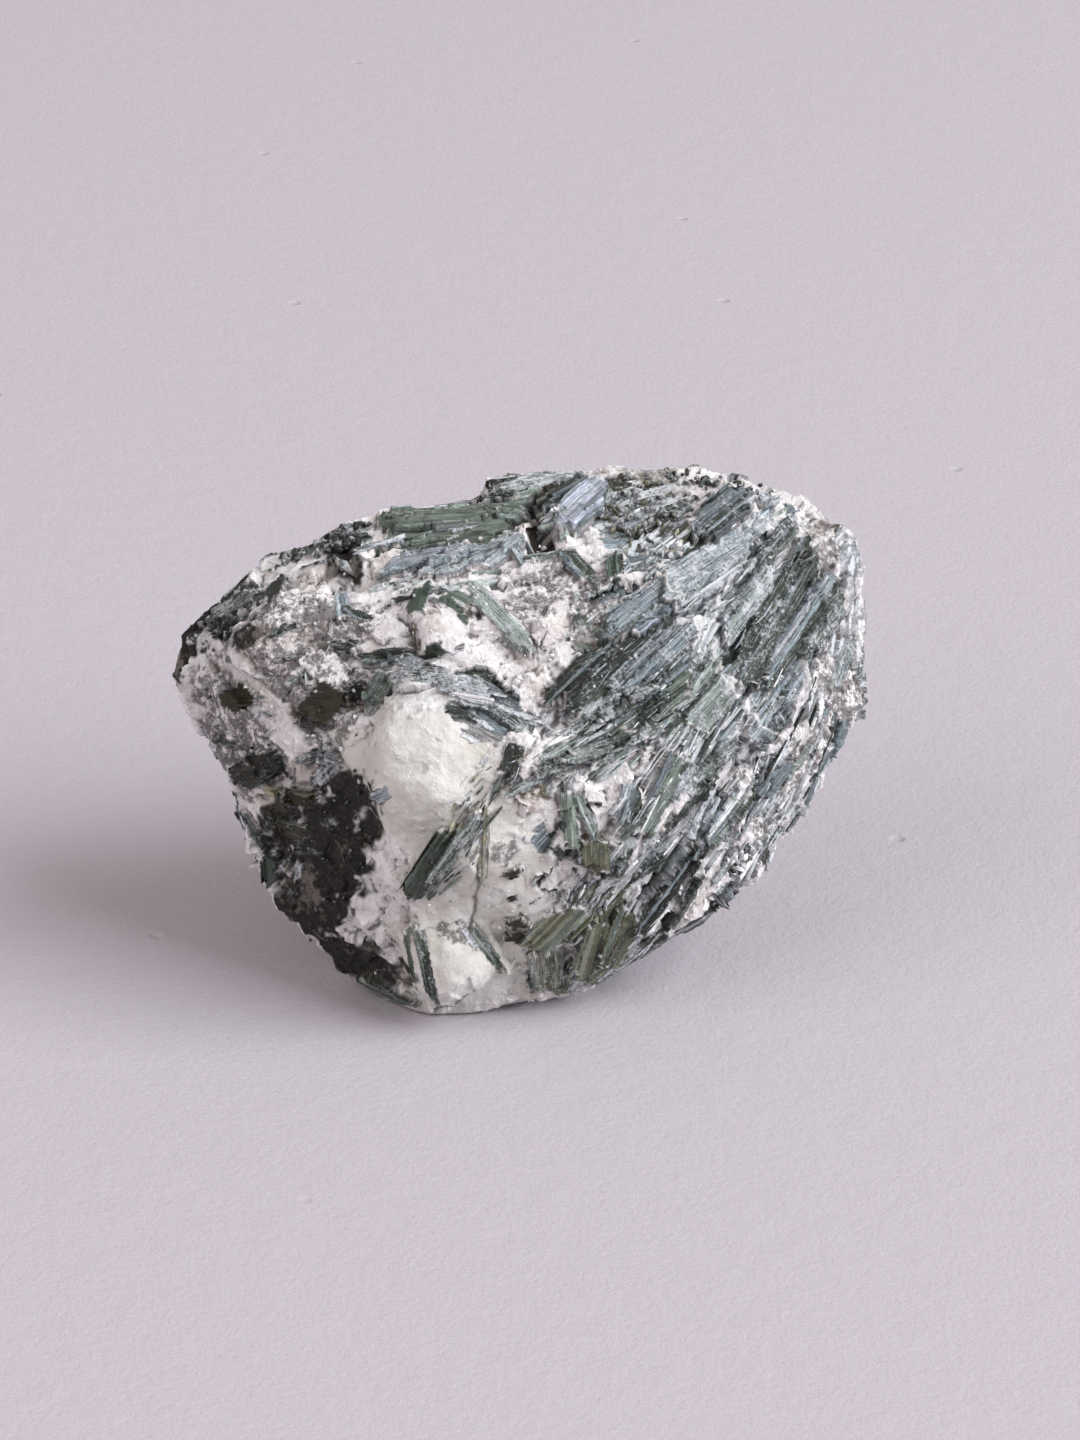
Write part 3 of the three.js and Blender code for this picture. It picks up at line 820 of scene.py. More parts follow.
tones = {
    "sheen": linear(158, 162, 176),
    "slate": linear(118, 130, 137),
    "graphite": linear(92, 101, 108),
    "steel": linear(154, 166, 175),
    "celadon": linear(148, 162, 155),
    "sage": linear(110, 121, 112),
    "jade": linear(72, 86, 75),
    "moss": linear(58, 66, 57),
    "forest": linear(38, 44, 38),
    "olive": linear(98, 100, 82),
    "lichen": linear(134, 137, 120),
    "bark": linear(47, 43, 31),
    "pitch": linear(27, 27, 24),
    "straw": linear(160, 154, 128),
    "frost": linear(218, 221, 222),
    "salt": linear(240, 239, 242),
    "chalk": linear(216, 212, 200),
    "ash": linear(162, 160, 162),
    "soot": linear(42, 41, 40),
}
# What a blade of one tone may have as threads of another.
companions = {
    "sheen": ("steel", "slate"),
    "slate": ("steel", "forest", "moss", "frost"),
    "graphite": ("slate", "forest", "moss"),
    "steel": ("slate", "frost", "sage"),
    "celadon": ("sage", "frost"),
    "sage": ("moss", "celadon", "slate"),
    "jade": ("forest", "sage"),
    "moss": ("forest", "slate", "sage"),
    "forest": ("moss", "pitch", "slate"),
    "olive": ("moss", "lichen", "sage"),
    "lichen": ("olive", "sage", "celadon"),
    "bark": ("pitch", "olive"),
    "pitch": ("bark", "moss"),
}

# The blades that can be told apart on the best face:
# the ends of the middle line as u, v, then width, rise, tone and how much talc dust lies on them.
# A lozenge has one value more, the share of its length in which each end narrows.
faceBlades = [
    # the ledge along the top, and the blades under it
    (-26.2, 31.4, -6.5, 32.8, 4.4, 1.4, "sage", 0.2),
    (-8.6, 36.6, 8, 38.4, 3.6, 1.6, "sage", 0.4),
    (-8.6, 34.4, -3.4, 35.2, 2.6, 1.4, "moss", 0.3),
    (-0.5, 33.2, 7.5, 38.8, 2.4, 0.8, "forest", 0.1),
    (2.6, 30.6, 10.6, 37.2, 6.2, 2.0, "sheen", 0.25),
    (-30, 25.8, -21.5, 29.3, 2.2, 0.8, "moss", 0.5),
    (-25.6, 23.6, -10, 26.8, 3.8, 1.7, "sheen", 0.25),
    (-19.5, 22.6, -2.5, 28.4, 3.4, 1.3, "steel", 0.4),
    (-9.5, 23.8, -2.4, 28.8, 2.2, 1.0, "steel", 0.4),
    (-11.8, 22, -1, 10.8, 3.4, 0.9, "celadon", 0.4),
    (-18, 21.6, -20.4, 15.6, 2.8, 1.5, "jade", 0.05),
    (-15.8, 20, -11.6, 18, 3.4, 1.0, "celadon", 0.2),
    (-31.5, 20, -30.8, 16, 2.5, 1.0, "steel", 0.2),
    (-4.5, 35, 0, 36.5, 2.2, 1.0, "celadon", 0.3),
    (3.6, 27, 9, 21, 2.8, 0.7, "moss", 0.3),
    (11.6, 26.5, 12, 21.6, 2.8, 0.9, "jade", 0.2),
    # the nose on the left
    (-57, 9.6, -54, 15.2, 2.4, 0.8, "pitch", 0.2),
    (-52.4, 15.6, -44.6, 20.4, 4.0, 0.9, "moss", 0.4),
    (-40.8, 23.4, -42.8, 17.8, 3.2, 0.9, "forest", 0.05, 0.5),
    (-57.4, 5.4, -51.4, 3.4, 2.6, 0.8, "bark", 0.2),
    (-50.9, 3.6, -45, 3.4, 5.2, 0.7, "bark", 0.03, 0.5),
    (-38.6, 1.4, -29.8, 3.6, 6.8, 0.7, "bark", 0.03, 0.45),
    (-30.8, 5.4, -27.4, 3.2, 3.4, 0.5, "pitch", 0.03, 0.4),
    (-27.6, 2.2, -23.4, 7.6, 3.8, 1.6, "sage", 0.2),
    (-21.5, 7.4, -13, 6.4, 3.8, 0.9, "moss", 0.5),
    (-14, 4.4, -7.4, 3.2, 3.4, 0.8, "slate", 0.5),
    (-24.6, 10.4, -18.6, 8.6, 2.2, 0.8, "slate", 0.4),
    (-28, 9.8, -20.5, 10.4, 2.6, 0.9, "forest", 0.2),
    # the dark blades on the shaded side
    (-48.4, -10, -41.4, -5.6, 4.8, 1.6, "pitch", 0.15),
    (-42.2, -4.4, -39.4, -9.6, 2.0, 0.8, "pitch", 0.1),
    (-26.4, -12.6, -23.8, -11.2, 2.2, 0.5, "steel", 0.4),
    (-40, -11.8, -34.6, -12.6, 3.4, 1.2, "bark", 0.1),
    (-42, -16, -36.4, -18.4, 3.0, 1.0, "bark", 0.1),
    (-47.2, -14.6, -43.2, -20.4, 1.8, 0.9, "moss", 0.2),
    (-42.8, -20.6, -42.4, -26.4, 3.0, 1.2, "jade", 0.1),
    (-43.6, -11, -41.4, -11.6, 2.4, 0.9, "straw", 0.1),
    (-37, -35.9, -25, -35, 2.8, 1.3, "pitch", 0.1),
    (-29, -40.4, -19.6, -45.2, 3.6, 0.9, "moss", 0.2),
    # the crack across the middle, and the blades on the pale foot
    (-20.9, -28.4, -13.6, -17.2, 3.6, 2.2, "moss", 0.15),
    (-17.2, -25.8, -9.4, -14.4, 2.0, 1.4, "sage", 0.4),
    (-8.4, -13, -9.2, -27, 1.4, 0.2, "straw", 0.4),
    (-21.4, -32.6, -19.6, -41.6, 1.2, 0.3, "sage", 0.2),
    (-19.2, -33.4, -16.4, -45.8, 1.8, 0.5, "jade", 0.3),
    (-10.8, -33, -5, -40.6, 1.6, 0.2, "sage", 0.3),
    (-5.8, -31.8, -1.4, -32.6, 2.9, 0.7, "bark", 0.05, 0.5),
    (-6.4, -24.8, -2.4, -23.6, 2.2, 0.5, "bark", 0.05, 0.5),
    (-5.8, -28.6, -3, -27.8, 1.5, 0.4, "pitch", 0.05, 0.5),
    (-5.8, -35, -1, -33.8, 2.4, 0.4, "bark", 0.05, 0.5),
    (2.4, -19.6, 4, -22, 1.6, 0.5, "moss", 0.1),
    (-12.4, -32.6, -9.8, -36.4, 1.2, 0.1, "ash", 0.6),
    (-23.6, 18.6, -20.2, 19.4, 1.3, 0.5, "forest", 0.1),
    (-15.8, 19.8, -11.4, 15.4, 1.6, 0.6, "jade", 0.1),
    (-43.6, 12.6, -38.4, 15.4, 1.6, 0.5, "pitch", 0.3),
    (-33.6, 12, -29, 11, 2.0, 0.5, "soot", 0.3),
    (-30.4, 17.2, -26.4, 15.6, 1.6, 0.5, "moss", 0.2),
    (-51.6, -2.4, -47.6, -4.6, 1.8, 0.6, "moss", 0.2),
    (-46.4, -3.6, -44.8, -8, 1.6, 0.5, "pitch", 0.2),
    (-1.2, -36.6, 6.6, -29, 5.8, 1.6, "lichen", 0.1),
    (1.4, -42.4, 0.8, -35.8, 5.4, 1.2, "lichen", 0.3),
    (6.4, -41.4, 9.6, -30.4, 3.8, 1.6, "olive", 0.06),
    (10, -39, 14.4, -30, 4.6, 1.5, "olive", 0.15),
    (8.8, -24, 8.8, -18.6, 4.4, 1.2, "olive", 0.1),
    (4, -10, 5.2, -20.6, 2.4, 1.2, "sage", 0.2),
    (5.6, -11, 9.4, -19.4, 1.6, 1.0, "sage", 0.3),
    (-3.4, -3.4, -5.6, -9.6, 3.0, 0.9, "forest", 0.1),
    (-6, -12.4, 4, -6.6, 1.8, 1.2, "sage", 0.4),
    (-2, -8.6, 12, -4.2, 2.2, 1.3, "moss", 0.4),
    (4, -6.4, 20, -0.8, 2.4, 1.2, "sage", 0.4),
    # the long slabs of the right-hand face
    (1.1, 2.8, 11.6, 12.6, 3.4, 1.4, "forest", 0.2),
    (4.4, 1.2, 21.6, 16.6, 5.2, 1.8, "forest", 0.25),
    (10.5, 2.4, 24.5, 15.6, 5.6, 1.5, "slate", 0.35),
    (10.8, 12.6, 22.5, 22, 5.8, 1.6, "slate", 0.3),
    (19.4, 19, 34, 29, 7.4, 1.1, "slate", 0.5),
    (5, -0.6, 19, 5.6, 3.4, 0.9, "sage", 0.5),
    (10.4, -3, 24.6, 8.4, 3.4, 0.7, "moss", 0.2),
    (24, 29.4, 33, 36, 6.0, 1.8, "graphite", 0.25),
    (30, 26.4, 39.6, 36, 5.0, 1.4, "graphite", 0.25),
    (34.6, 25, 40.4, 31.4, 3.0, 1.0, "forest", 0.35),
    (29, 13.4, 36.6, 24, 4.0, 1.0, "sage", 0.5),
    (31, 5.2, 43.4, 26.2, 6.0, 1.8, "moss", 0.3),
    (35.4, 5.6, 46.4, 23.4, 5.0, 1.5, "slate", 0.3),
    (41, 9.6, 48, 19, 4.0, 1.2, "moss", 0.4),
    (32.4, -3.6, 41.6, 7.8, 5.0, 1.2, "slate", 0.35),
    (24, -1.6, 31, 6.6, 5.0, 0.8, "sage", 0.35),
    # the narrow blades that run down to the lower right
    (16, -17.6, 22.6, -4.2, 3.8, 1.2, "sage", 0.2),
    (14.6, -9.4, 12.8, -16.4, 3.0, 1.0, "slate", 0.4),
    (18.9, -18.4, 28, -8.4, 1.8, 1.0, "forest", 0.25),
    (23, -22, 31.6, -10.8, 2.8, 1.3, "slate", 0.25),
    (15, -34.4, 25.8, -18, 3.2, 1.9, "forest", 0.15),
    (19.8, -33.4, 25.6, -24, 1.8, 1.5, "moss", 0.25),
    (14.2, -25.2, 19.6, -21.2, 2.2, 0.9, "forest", 0.2),
    (21.4, -33.6, 31.4, -26.4, 1.8, 1.2, "pitch", 0.2),
    (27.6, -28.6, 36.5, -17.4, 2.2, 1.0, "slate", 0.35),
    (34.4, -12.4, 39.4, -6.6, 3.2, 1.0, "slate", 0.2),
    (30.2, -16.2, 34.4, -10.4, 1.6, 0.8, "moss", 0.25),
    (24.6, -9.6, 33, -2, 2.0, 0.8, "sage", 0.4),
    (40.8, -13.4, 46.4, -8.2, 2.0, 0.7, "pitch", 0.2),
    (45.8, 4, 49.6, 14, 3.0, 0.6, "sage", 0.45),
]

# Flat faces of the white rock itself: the ends of the middle line as u, v, then width and rise.
rockFacets = [
    (-52.4, 13.2, -36, -7.4, 5.2, 0.7),
    (-6.5, 21.8, 4.5, 25.8, 3.6, 0.5),
    (-46.4, -11.4, -42.2, -18, 3.4, 0.4),
    (-37, 11.4, -31, 5.6, 5.0, 0.6),
    (-27, 16.4, -22.4, 13, 4.6, 0.6),
]

# Smaller blades and laths strewn over whole areas of the best face: middle, half sizes and turn of
# the area, count, heading and its fan, the range of lengths and widths, strip width, tones.
slabBeds = [
    ((30, -10), (20, 12), 50, 20, 54, 7, (5, 13), (0.9, 2.2), 0.8, ("steel", "slate", "ash", "sage")),
    ((24, -24), (12, 9), 50, 14, 55, 8, (4, 11), (0.9, 2.2), 0.8, ("forest", "slate", "steel")),
    ((12, -1), (12, 5), 32, 12, 33, 8, (4, 10), (0.8, 1.8), 0.8, ("sage", "moss", "celadon")),
    ((-8, 27), (15, 6), 18, 8, 20, 10, (3, 8), (0.8, 1.8), 0.8, ("celadon", "steel", "sage")),
    ((-40, -18), (6, 16), -15, 16, 20, 70, (2, 5), (1, 2.6), 1.6, ("pitch", "bark", "forest")),
    ((-36, 5), (12, 8), 30, 14, 20, 70, (1.2, 3), (0.6, 1.6), 1.6, ("pitch", "moss", "forest")),
]
lathBeds = [
    ((26, 14), (24, 17), 45, 160, 48, 6, (1.5, 6), (0.12, 0.35), ("slate", "steel", "sage", "frost")),
    ((28, -13), (23, 13), 52, 130, 54, 5, (3, 9), (0.12, 0.35), ("frost", "salt", "forest")),
    ((12, -1), (14, 7), 32, 90, 33, 9, (2, 6), (0.12, 0.35), ("sage", "moss", "frost", "celadon")),
    ((8, -33), (11, 9), 10, 50, 62, 16, (1.5, 5), (0.15, 0.4), ("olive", "moss", "frost")),
    ((-9, 27), (18, 7), 18, 40, 20, 12, (1.5, 5), (0.12, 0.35), ("celadon", "sage", "moss")),
    ((-8, -9), (7, 3), 40, 40, 50, 30, (1, 3), (0.15, 0.4), ("moss", "sage", "straw")),
    ((-13, -20), (3, 9), -30, 40, 58, 8, (2, 8), (0.12, 0.3), ("sage", "straw", "moss")),
    ((17, 31), (6, 7), 0, 70, 85, 70, (0.6, 2), (0.2, 0.5), ("olive", "bark", "lichen", "ash")),
]
# Crumbs: middle, half sizes and turn of the area, count, the range of sizes, tones.
crumbBeds = [
    ((2, 18), (16, 9), -20, 60, (0.2, 0.6), ("salt", "salt", "ash")),
    ((-34, 8), (22, 13), 30, 110, (0.2, 0.6), ("salt", "ash", "soot")),
    ((-14, -36), (16, 9), 0, 40, (0.2, 0.5), ("salt", "chalk", "ash")),
    ((30, 0), (24, 36), -30, 160, (0.2, 0.5), ("salt", "salt", "ash")),
    ((17, 34), (8, 5), 0, 90, (0.3, 0.8), ("bark", "olive", "ash")),
    ((29, 38), (12, 2), -12, 70, (0.5, 1.3), ("bark", "pitch", "moss")),
    ((-34, -22), (8, 16), -15, 80, (0.2, 0.6), ("pitch", "soot", "moss")),
    ((-34, 29), (8, 2.5), 25, 70, (0.5, 1.2), ("pitch", "moss", "soot")),
    ((-30.4, 29), (2.8, 2.2), 30, 44, (0.6, 1.3), ("pitch", "soot")),
    ((-50, 16), (8, 4), 40, 90, (0.4, 1.0), ("pitch", "moss", "soot", "ash")),
    ((33, -23), (4, 3), 30, 70, (0.4, 1.0), ("ash", "moss", "bark", "salt")),
]

# Drifts of blades on the sides that the best face hides, each seen from its own azimuth and elevation.
drifts = [
    {"from": (90, 5), "at": (2, 4), "spread": (24, 28), "count": 34, "heading": 55, "fan": 18},
    {"from": (180, 10), "at": (-24, 4), "spread": (26, 30), "count": 40, "heading": 128, "fan": 20},
    {"from": (180, 10), "at": (18, 2), "spread": (28, 28), "count": 40, "heading": 70, "fan": 35},
    {"from": (270, 5), "at": (2, 0), "spread": (22, 28), "count": 24, "heading": 35, "fan": 40},
    {"from": (0, 80), "at": (10, 8), "spread": (34, 18), "count": 24, "heading": 20, "fan": 30},
    {"from": (90, -35), "at": (-4, 2), "spread": (22, 18), "count": 16, "heading": 120, "fan": 40},
    {"from": (215, -30), "at": (4, 0), "spread": (28, 18), "count": 18, "heading": 160, "fan": 40},
]


def spot(carrier, view, u, v):
    target = seenAt(view, u, v)
    way = (target - view["eye"]).normalized()
    hit, normal, _, _ = carrier.ray_cast(view["eye"] * mm, way)
    return (hit / mm, normal) if hit else (None, None)


bladeForm = {
    "strip": 1.1,  # the usual width of a terrace
    "thread": (0.25, 1.0),  # widths of the threads in a terrace
    "bow": 2.5,  # a strewn blade is left out where the surface bows more than this
    "turn": 0.72,  # or turns away more than this under it
    "tilt": 0.1,
    "slant": 0.8,
    "blunt": (0.04, 0.3),
    "fray": 0.6,
    "wear": 0.9,
    "mixed": 0.35,  # the share of threads in a companion's tone
    "step": 0.45,  # how often a terrace starts a new level
}
# A lozenge is a clean crystal with narrowed ends.
lozengeForm = {"slant": 0.2, "fray": 0.1, "wear": 0.12, "mixed": 0.0}


def seatOf(carrier, view, ends, named):
    # the plane that a blade lies on, or nothing where the surface isn't flat enough for it
    u0, v0, u1, v1 = ends
    found = [spot(carrier, view, u0 + (u1 - u0) * t, v0 + (v1 - v0) * t) for t in (0, 0.5, 1)]
    if any(hit is None for hit, _ in found):
        return None
    up = sum((normal for _, normal in found), Vector()).normalized()
    start, middle, end = (hit for hit, _ in found)
    bow = (middle - (start + end) * 0.5).length
    flat = min(normal.dot(up) for _, normal in found)
    if not named and (bow > bladeForm["bow"] or flat < bladeForm["turn"]):
        return None
    along = end - start
    long = along.length
    along = (along - up * along.dot(up)).normalized()
    return ((start + end) * 0.5).lerp(middle, 0.5), along, up.cross(along), up, long


def layBlade(carrier, view, ends, wide, rise, tone, dust, draw, strip=bladeForm["strip"],
             named=False, point=None, bare=False):
    # one cleaved blade as a plane with parallel strips in terraces, each strip a bundle of threads
    seat = seatOf(carrier, view, ends, named)
    if not seat:
        return []
    centre, along, side, up, long = seat
    form = bladeForm if point is None else {**bladeForm, **lozengeForm}
    tilt = draw.uniform(-form["tilt"], form["tilt"])
    side, up = side * math.cos(tilt) + up * math.sin(tilt), up * math.cos(tilt) - side * math.sin(tilt)
    slab = {
        "centre": centre,
        "along": along,
        "side": side,
        "up": up,
        "long": long,
        "wide": wide,
        "slant": draw.uniform(-form["slant"], form["slant"]),
        "dust": dust,
        "wear": form["wear"],
        "bare": bare,
        "shift": draw.uniform(0, cellTones["shift"]),
        "strips": [],
    }
    blunt = draw.uniform(*form["blunt"], 2) if point is None else (point, point)
    fray = form["fray"]
    level = 0.0
    y = -wide / 2
    while y < wide / 2 - 0.1:
        w = min(strip * draw.uniform(0.3, 1.8), wide / 2 - y)
        middle = y + w / 2
        if draw.random() < form["step"]:
            level = draw.uniform(-0.2, 0.12) - 0.25 * abs(middle * 2 / wide) ** 3
        high, roll = rise * 0.55 + level + draw.normal(0, 0.03), draw.normal(0, 0.04)
        edge = y
        while edge < y + w - 0.02:
            thread = min(draw.uniform(*form["thread"]), y + w - edge)
            at = edge + thread / 2
            outward = abs(at * 2 / wide) ** 1.2
            first = -long / 2 + long * blunt[0] * outward + draw.uniform(-fray, fray)
            last = long / 2 - long * blunt[1] * outward + draw.uniform(-fray, fray)
            mixed = tone in companions and draw.random() < form["mixed"]
            name = oneOf(companions[tone], draw) if mixed else tone
            shade = np.array(tones[name]) * math.exp(draw.normal(0, 0.14)) * (1 + draw.normal(0, 0.015, 3))
            shade = np.clip(shade, *toneLimits)
            top = high + roll * (at - middle)
            slab["strips"].append((edge, edge + thread, first, last, top, roll, shade))
            edge += thread
        y += w
    return [slab]


splinterForm = {
    "wide": (0.12, 0.6),
    "start": (0, 0.6),  # where it starts along its terrace, and how long it is, as shares
    "long": (0.25, 0.9),
    "over": 0.3,  # the share of splinters that run past both ends of the terrace
    "past": (0.5, 0.4),
    "turn": 0.06,
    "above": (0.02, 0.2),
    "root": 1.2,  # how deep it reaches into the rock
    "taper": (0.1, 0.6),
    "spread": 0.13,
    "dust": (0.5, 1.4),  # against that of its blade
}


def splinters(bed, slab, cover, draw):
    # crisp splinters that stand a hair above the terraces
    form = splinterForm
    along, side, up = slab["along"], slab["side"], slab["up"]
    for y0, y1, first, last, high, roll, shade in slab["strips"]:
        y = y0
        while y < y1 - 0.05:
            w = min(draw.uniform(*form["wide"]), y1 - y)
            if draw.random() < cover:
                a = first + (last - first) * draw.uniform(*form["start"])
                b = min(last, a + (last - first) * draw.uniform(*form["long"]))
                if draw.random() < form["over"]:
                    a = first - draw.uniform(0, form["past"][0])
                    b = last + draw.uniform(0, form["past"][1])
                turn = roll + draw.normal(0, form["turn"])
                s = side * math.cos(turn) + up * math.sin(turn)
                n = up * math.cos(turn) - side * math.sin(turn)
                middle = y + w / 2
                place = slab["centre"] + along * ((a + b) / 2 + slab["slant"] * middle) + side * middle
                size = (b - a, w, high + draw.uniform(*form["above"]), form["root"])
                tint = np.clip(shade * math.exp(draw.normal(0, form["spread"])), *toneLimits)
                taper = draw.uniform(*form["taper"])
                dust = slab["dust"] * draw.uniform(*form["dust"])
                bed.add(place, along, s, n, size, slab["slant"], taper, tint, dust)
            y += w


def placesIn(middle, half, turn, count, draw):
    c, s = math.cos(math.radians(turn)), math.sin(math.radians(turn))
    for _ in range(count):
        r, angle = math.sqrt(draw.random()), draw.uniform(0, 2 * math.pi)
        du, dv = r * half[0] * math.cos(angle), r * half[1] * math.sin(angle)
        yield middle[0] + du * c - dv * s, middle[1] + du * s + dv * c


def oneOf(names, draw):
    return names[int(draw.integers(len(names)))]


strewing = {
    "fan": 0.6,  # the share of a bed's fan that one spread of the headings takes
    "spread": 0.15,  # of the tones
    "slab": {"rise": (0.0, 0.7), "dust": (0.2, 0.6)},
    "lath": {"roll": 0.2, "rise": (0.0, 0.3), "skew": (-0.8, 0.8), "taper": 0.5, "dust": (0.1, 0.6)},
    "crumb": {"tilt": 0.5, "long": (0.8, 1.5), "skew": (-0.4, 0.4), "taper": 0.2, "dust": (0, 0.5)},
    "drift": {
        "reach": (3, 12),
        "wide": (1.2, 5),
        "rise": (0.1, 0.7),
        "dust": (0.1, 0.5),
        "squarely": 0.42,  # a blade is left out where its own view sees the rock less squarely than this
        "hidden": 0.25,  # or the best face sees it more squarely than this
        "tones": ("slate", "sage", "moss", "forest", "jade", "celadon", "steel", "bark"),
    },
}


def toned(names, draw):
    tone = np.array(tones[oneOf(names, draw)])
    return np.clip(tone * math.exp(draw.normal(0, strewing["spread"])), *toneLimits)


def strewSlabs(carrier, area, draw):
    made = []
    middle, half, turn, count, heading, fan, longs, wides, strip, names = area
    for u, v in placesIn(middle, half, turn, count, draw):
        h = math.radians(heading + draw.normal(0, fan * strewing["fan"]))
        reach = draw.uniform(*longs) / 2
        du, dv = math.cos(h) * reach, math.sin(h) * reach
        ends = (u - du, v - dv, u + du, v + dv)
        wide, rise = draw.uniform(*wides), draw.uniform(*strewing["slab"]["rise"])
        tone, dust = oneOf(names, draw), draw.uniform(*strewing["slab"]["dust"])
        made += layBlade(carrier, face, ends, wide, rise, tone, dust, draw, strip)
    return made


def strewLaths(bed, carrier, area, draw):
    form = strewing["lath"]
    middle, half, turn, count, heading, fan, longs, wides, names = area
    for u, v in placesIn(middle, half, turn, count, draw):
        hit, up = spot(carrier, face, u, v)
        if hit is None:
            continue
        h = math.radians(heading + draw.normal(0, fan * strewing["fan"]))
        flat = face["across"] * math.cos(h) + face["up"] * math.sin(h)
        along = (flat - up * flat.dot(up)).normalized()
        side = up.cross(along)
        roll = draw.normal(0, form["roll"])
        side, n = side * math.cos(roll) + up * math.sin(roll), up * math.cos(roll) - side * math.sin(roll)
        tint = toned(names, draw)
        long, wide, rise = (draw.uniform(*span) for span in (longs, wides, form["rise"]))
        size = (long, wide, rise, splinterForm["root"])
        skew, dust = draw.uniform(*form["skew"]), draw.uniform(*form["dust"])
        bed.add(hit, along, side, n, size, skew, form["taper"], tint, dust)


def strewCrumbs(bed, carrier, area, draw):
    form = strewing["crumb"]
    middle, half, turn, count, sizes, names = area
    for u, v in placesIn(middle, half, turn, count, draw):
        hit, up = spot(carrier, face, u, v)
        if hit is None:
            continue
        up = (up + Vector(draw.normal(0, form["tilt"], 3))).normalized()
        along = up.orthogonal().normalized()
        along.rotate(Matrix.Rotation(draw.uniform(0, 6.3), 3, up))
        wide = draw.uniform(*sizes)
        tint = toned(names, draw)
        size = (wide * draw.uniform(*form["long"]), wide, wide * 0.5, wide * 0.6)
        skew, dust = draw.uniform(*form["skew"]), draw.uniform(*form["dust"])
        bed.add(hit, along, up.cross(along), up, size, skew, form["taper"], tint, dust)


def layDrift(carrier, drift, draw):
    made = []
    form = strewing["drift"]
    view = viewFrom(*drift["from"])
    for _ in range(drift["count"]):
        u = drift["at"][0] + drift["spread"][0] * draw.uniform(-1, 1)
        v = drift["at"][1] + drift["spread"][1] * draw.uniform(-1, 1)
        h = math.radians(drift["heading"] + drift["fan"] * draw.uniform(-1, 1))
        reach = draw.uniform(*form["reach"])
        du, dv = math.cos(h) * reach, math.sin(h) * reach
        hit, normal = spot(carrier, view, u, v)
        if hit is None or normal.dot(view["toward"]) < form["squarely"]:
            continue
        if normal.dot(face["toward"]) > form["hidden"]:
            continue
        ends = (u - du, v - dv, u + du, v + dv)
        wide, rise = draw.uniform(*form["wide"]), draw.uniform(*form["rise"])
        tone, dust = oneOf(form["tones"], draw), draw.uniform(*form["dust"])
        made += layBlade(carrier, view, ends, wide, rise, tone, dust, draw)
    return made


# Shader maths as expressions.
class Socket:
    def __init__(self, graph, link):
        self.graph, self.link = graph, link

    def sum(self, operation, a, b):
        return self.graph.node("ShaderNodeMath", {"operation": operation}, {0: a, 1: b})

    def __add__(self, other):
        return self.sum("ADD", self, other)

    def __radd__(self, other):
        return self.sum("ADD", other, self)

    def __sub__(self, other):
        return self.sum("SUBTRACT", self, other)

    def __rsub__(self, other):
        return self.sum("SUBTRACT", other, self)

    def __mul__(self, other):
        return self.sum("MULTIPLY", self, other)

    def __rmul__(self, other):
        return self.sum("MULTIPLY", other, self)


class Graph:
    def __init__(self, name):
        self.material = bpy.data.materials.new(name)
        self.material.use_nodes = True
        self.tree = self.material.node_tree
        self.tree.nodes.clear()

    def node(self, kind, settings, values, output=0):
        made = self.tree.nodes.new(kind)
        for key, value in settings.items():
            setattr(made, key, value)
        for key, value in values.items():
            if isinstance(value, Socket):
                self.tree.links.new(value.link, made.inputs[key])
            else:
                made.inputs[key].default_value = value
        return Socket(self, made.outputs[output]) if len(made.outputs) else None

    def attribute(self, name, output="Fac"):
        return self.node("ShaderNodeAttribute", {"attribute_name": name}, {}, output)

    def noise(self, where, scale, detail, roughness=0.55, stretch=(1, 1, 1)):
        placed = self.node("ShaderNodeMapping", {}, {"Vector": where, "Scale": stretch})
        values = {"Vector": placed, "Scale": scale, "Detail": detail, "Roughness": roughness}
        return self.node("ShaderNodeTexNoise", {}, values)

    def flecks(self, where, scale, jitter=1.0):
        values = {"Vector": where, "Scale": scale, "Randomness": jitter}
        return self.node("ShaderNodeTexVoronoi", {}, values)

    def between(self, value, low, high, toLow=0.0, toHigh=1.0):
        values = {"Value": value, "From Min": low, "From Max": high, "To Min": toLow, "To Max": toHigh}
        return self.node("ShaderNodeMapRange", {"interpolation_type": "SMOOTHSTEP"}, values)

    def mix(self, share, first, second, blend="MIX"):
        values = {"Factor": share, 6: first, 7: second}
        return self.node("ShaderNodeMix", {"data_type": "RGBA", "blend_type": blend}, values, 2)

    def finish(self, colour, roughness, height, depth, **fixed):
        bump = self.node("ShaderNodeBump", {}, {"Strength": 1.0, "Distance": depth, "Height": height})
        values = {"Base Color": colour, "Roughness": roughness, "Normal": bump, **fixed}
        surface = self.node("ShaderNodeBsdfPrincipled", {}, values)
        self.node("ShaderNodeOutputMaterial", {}, {"Surface": surface})
        return self.material


def grey(value):
    return (value, value, value, 1)


def paint(red, green, blue):
    return (*linear(red, green, blue), 1)


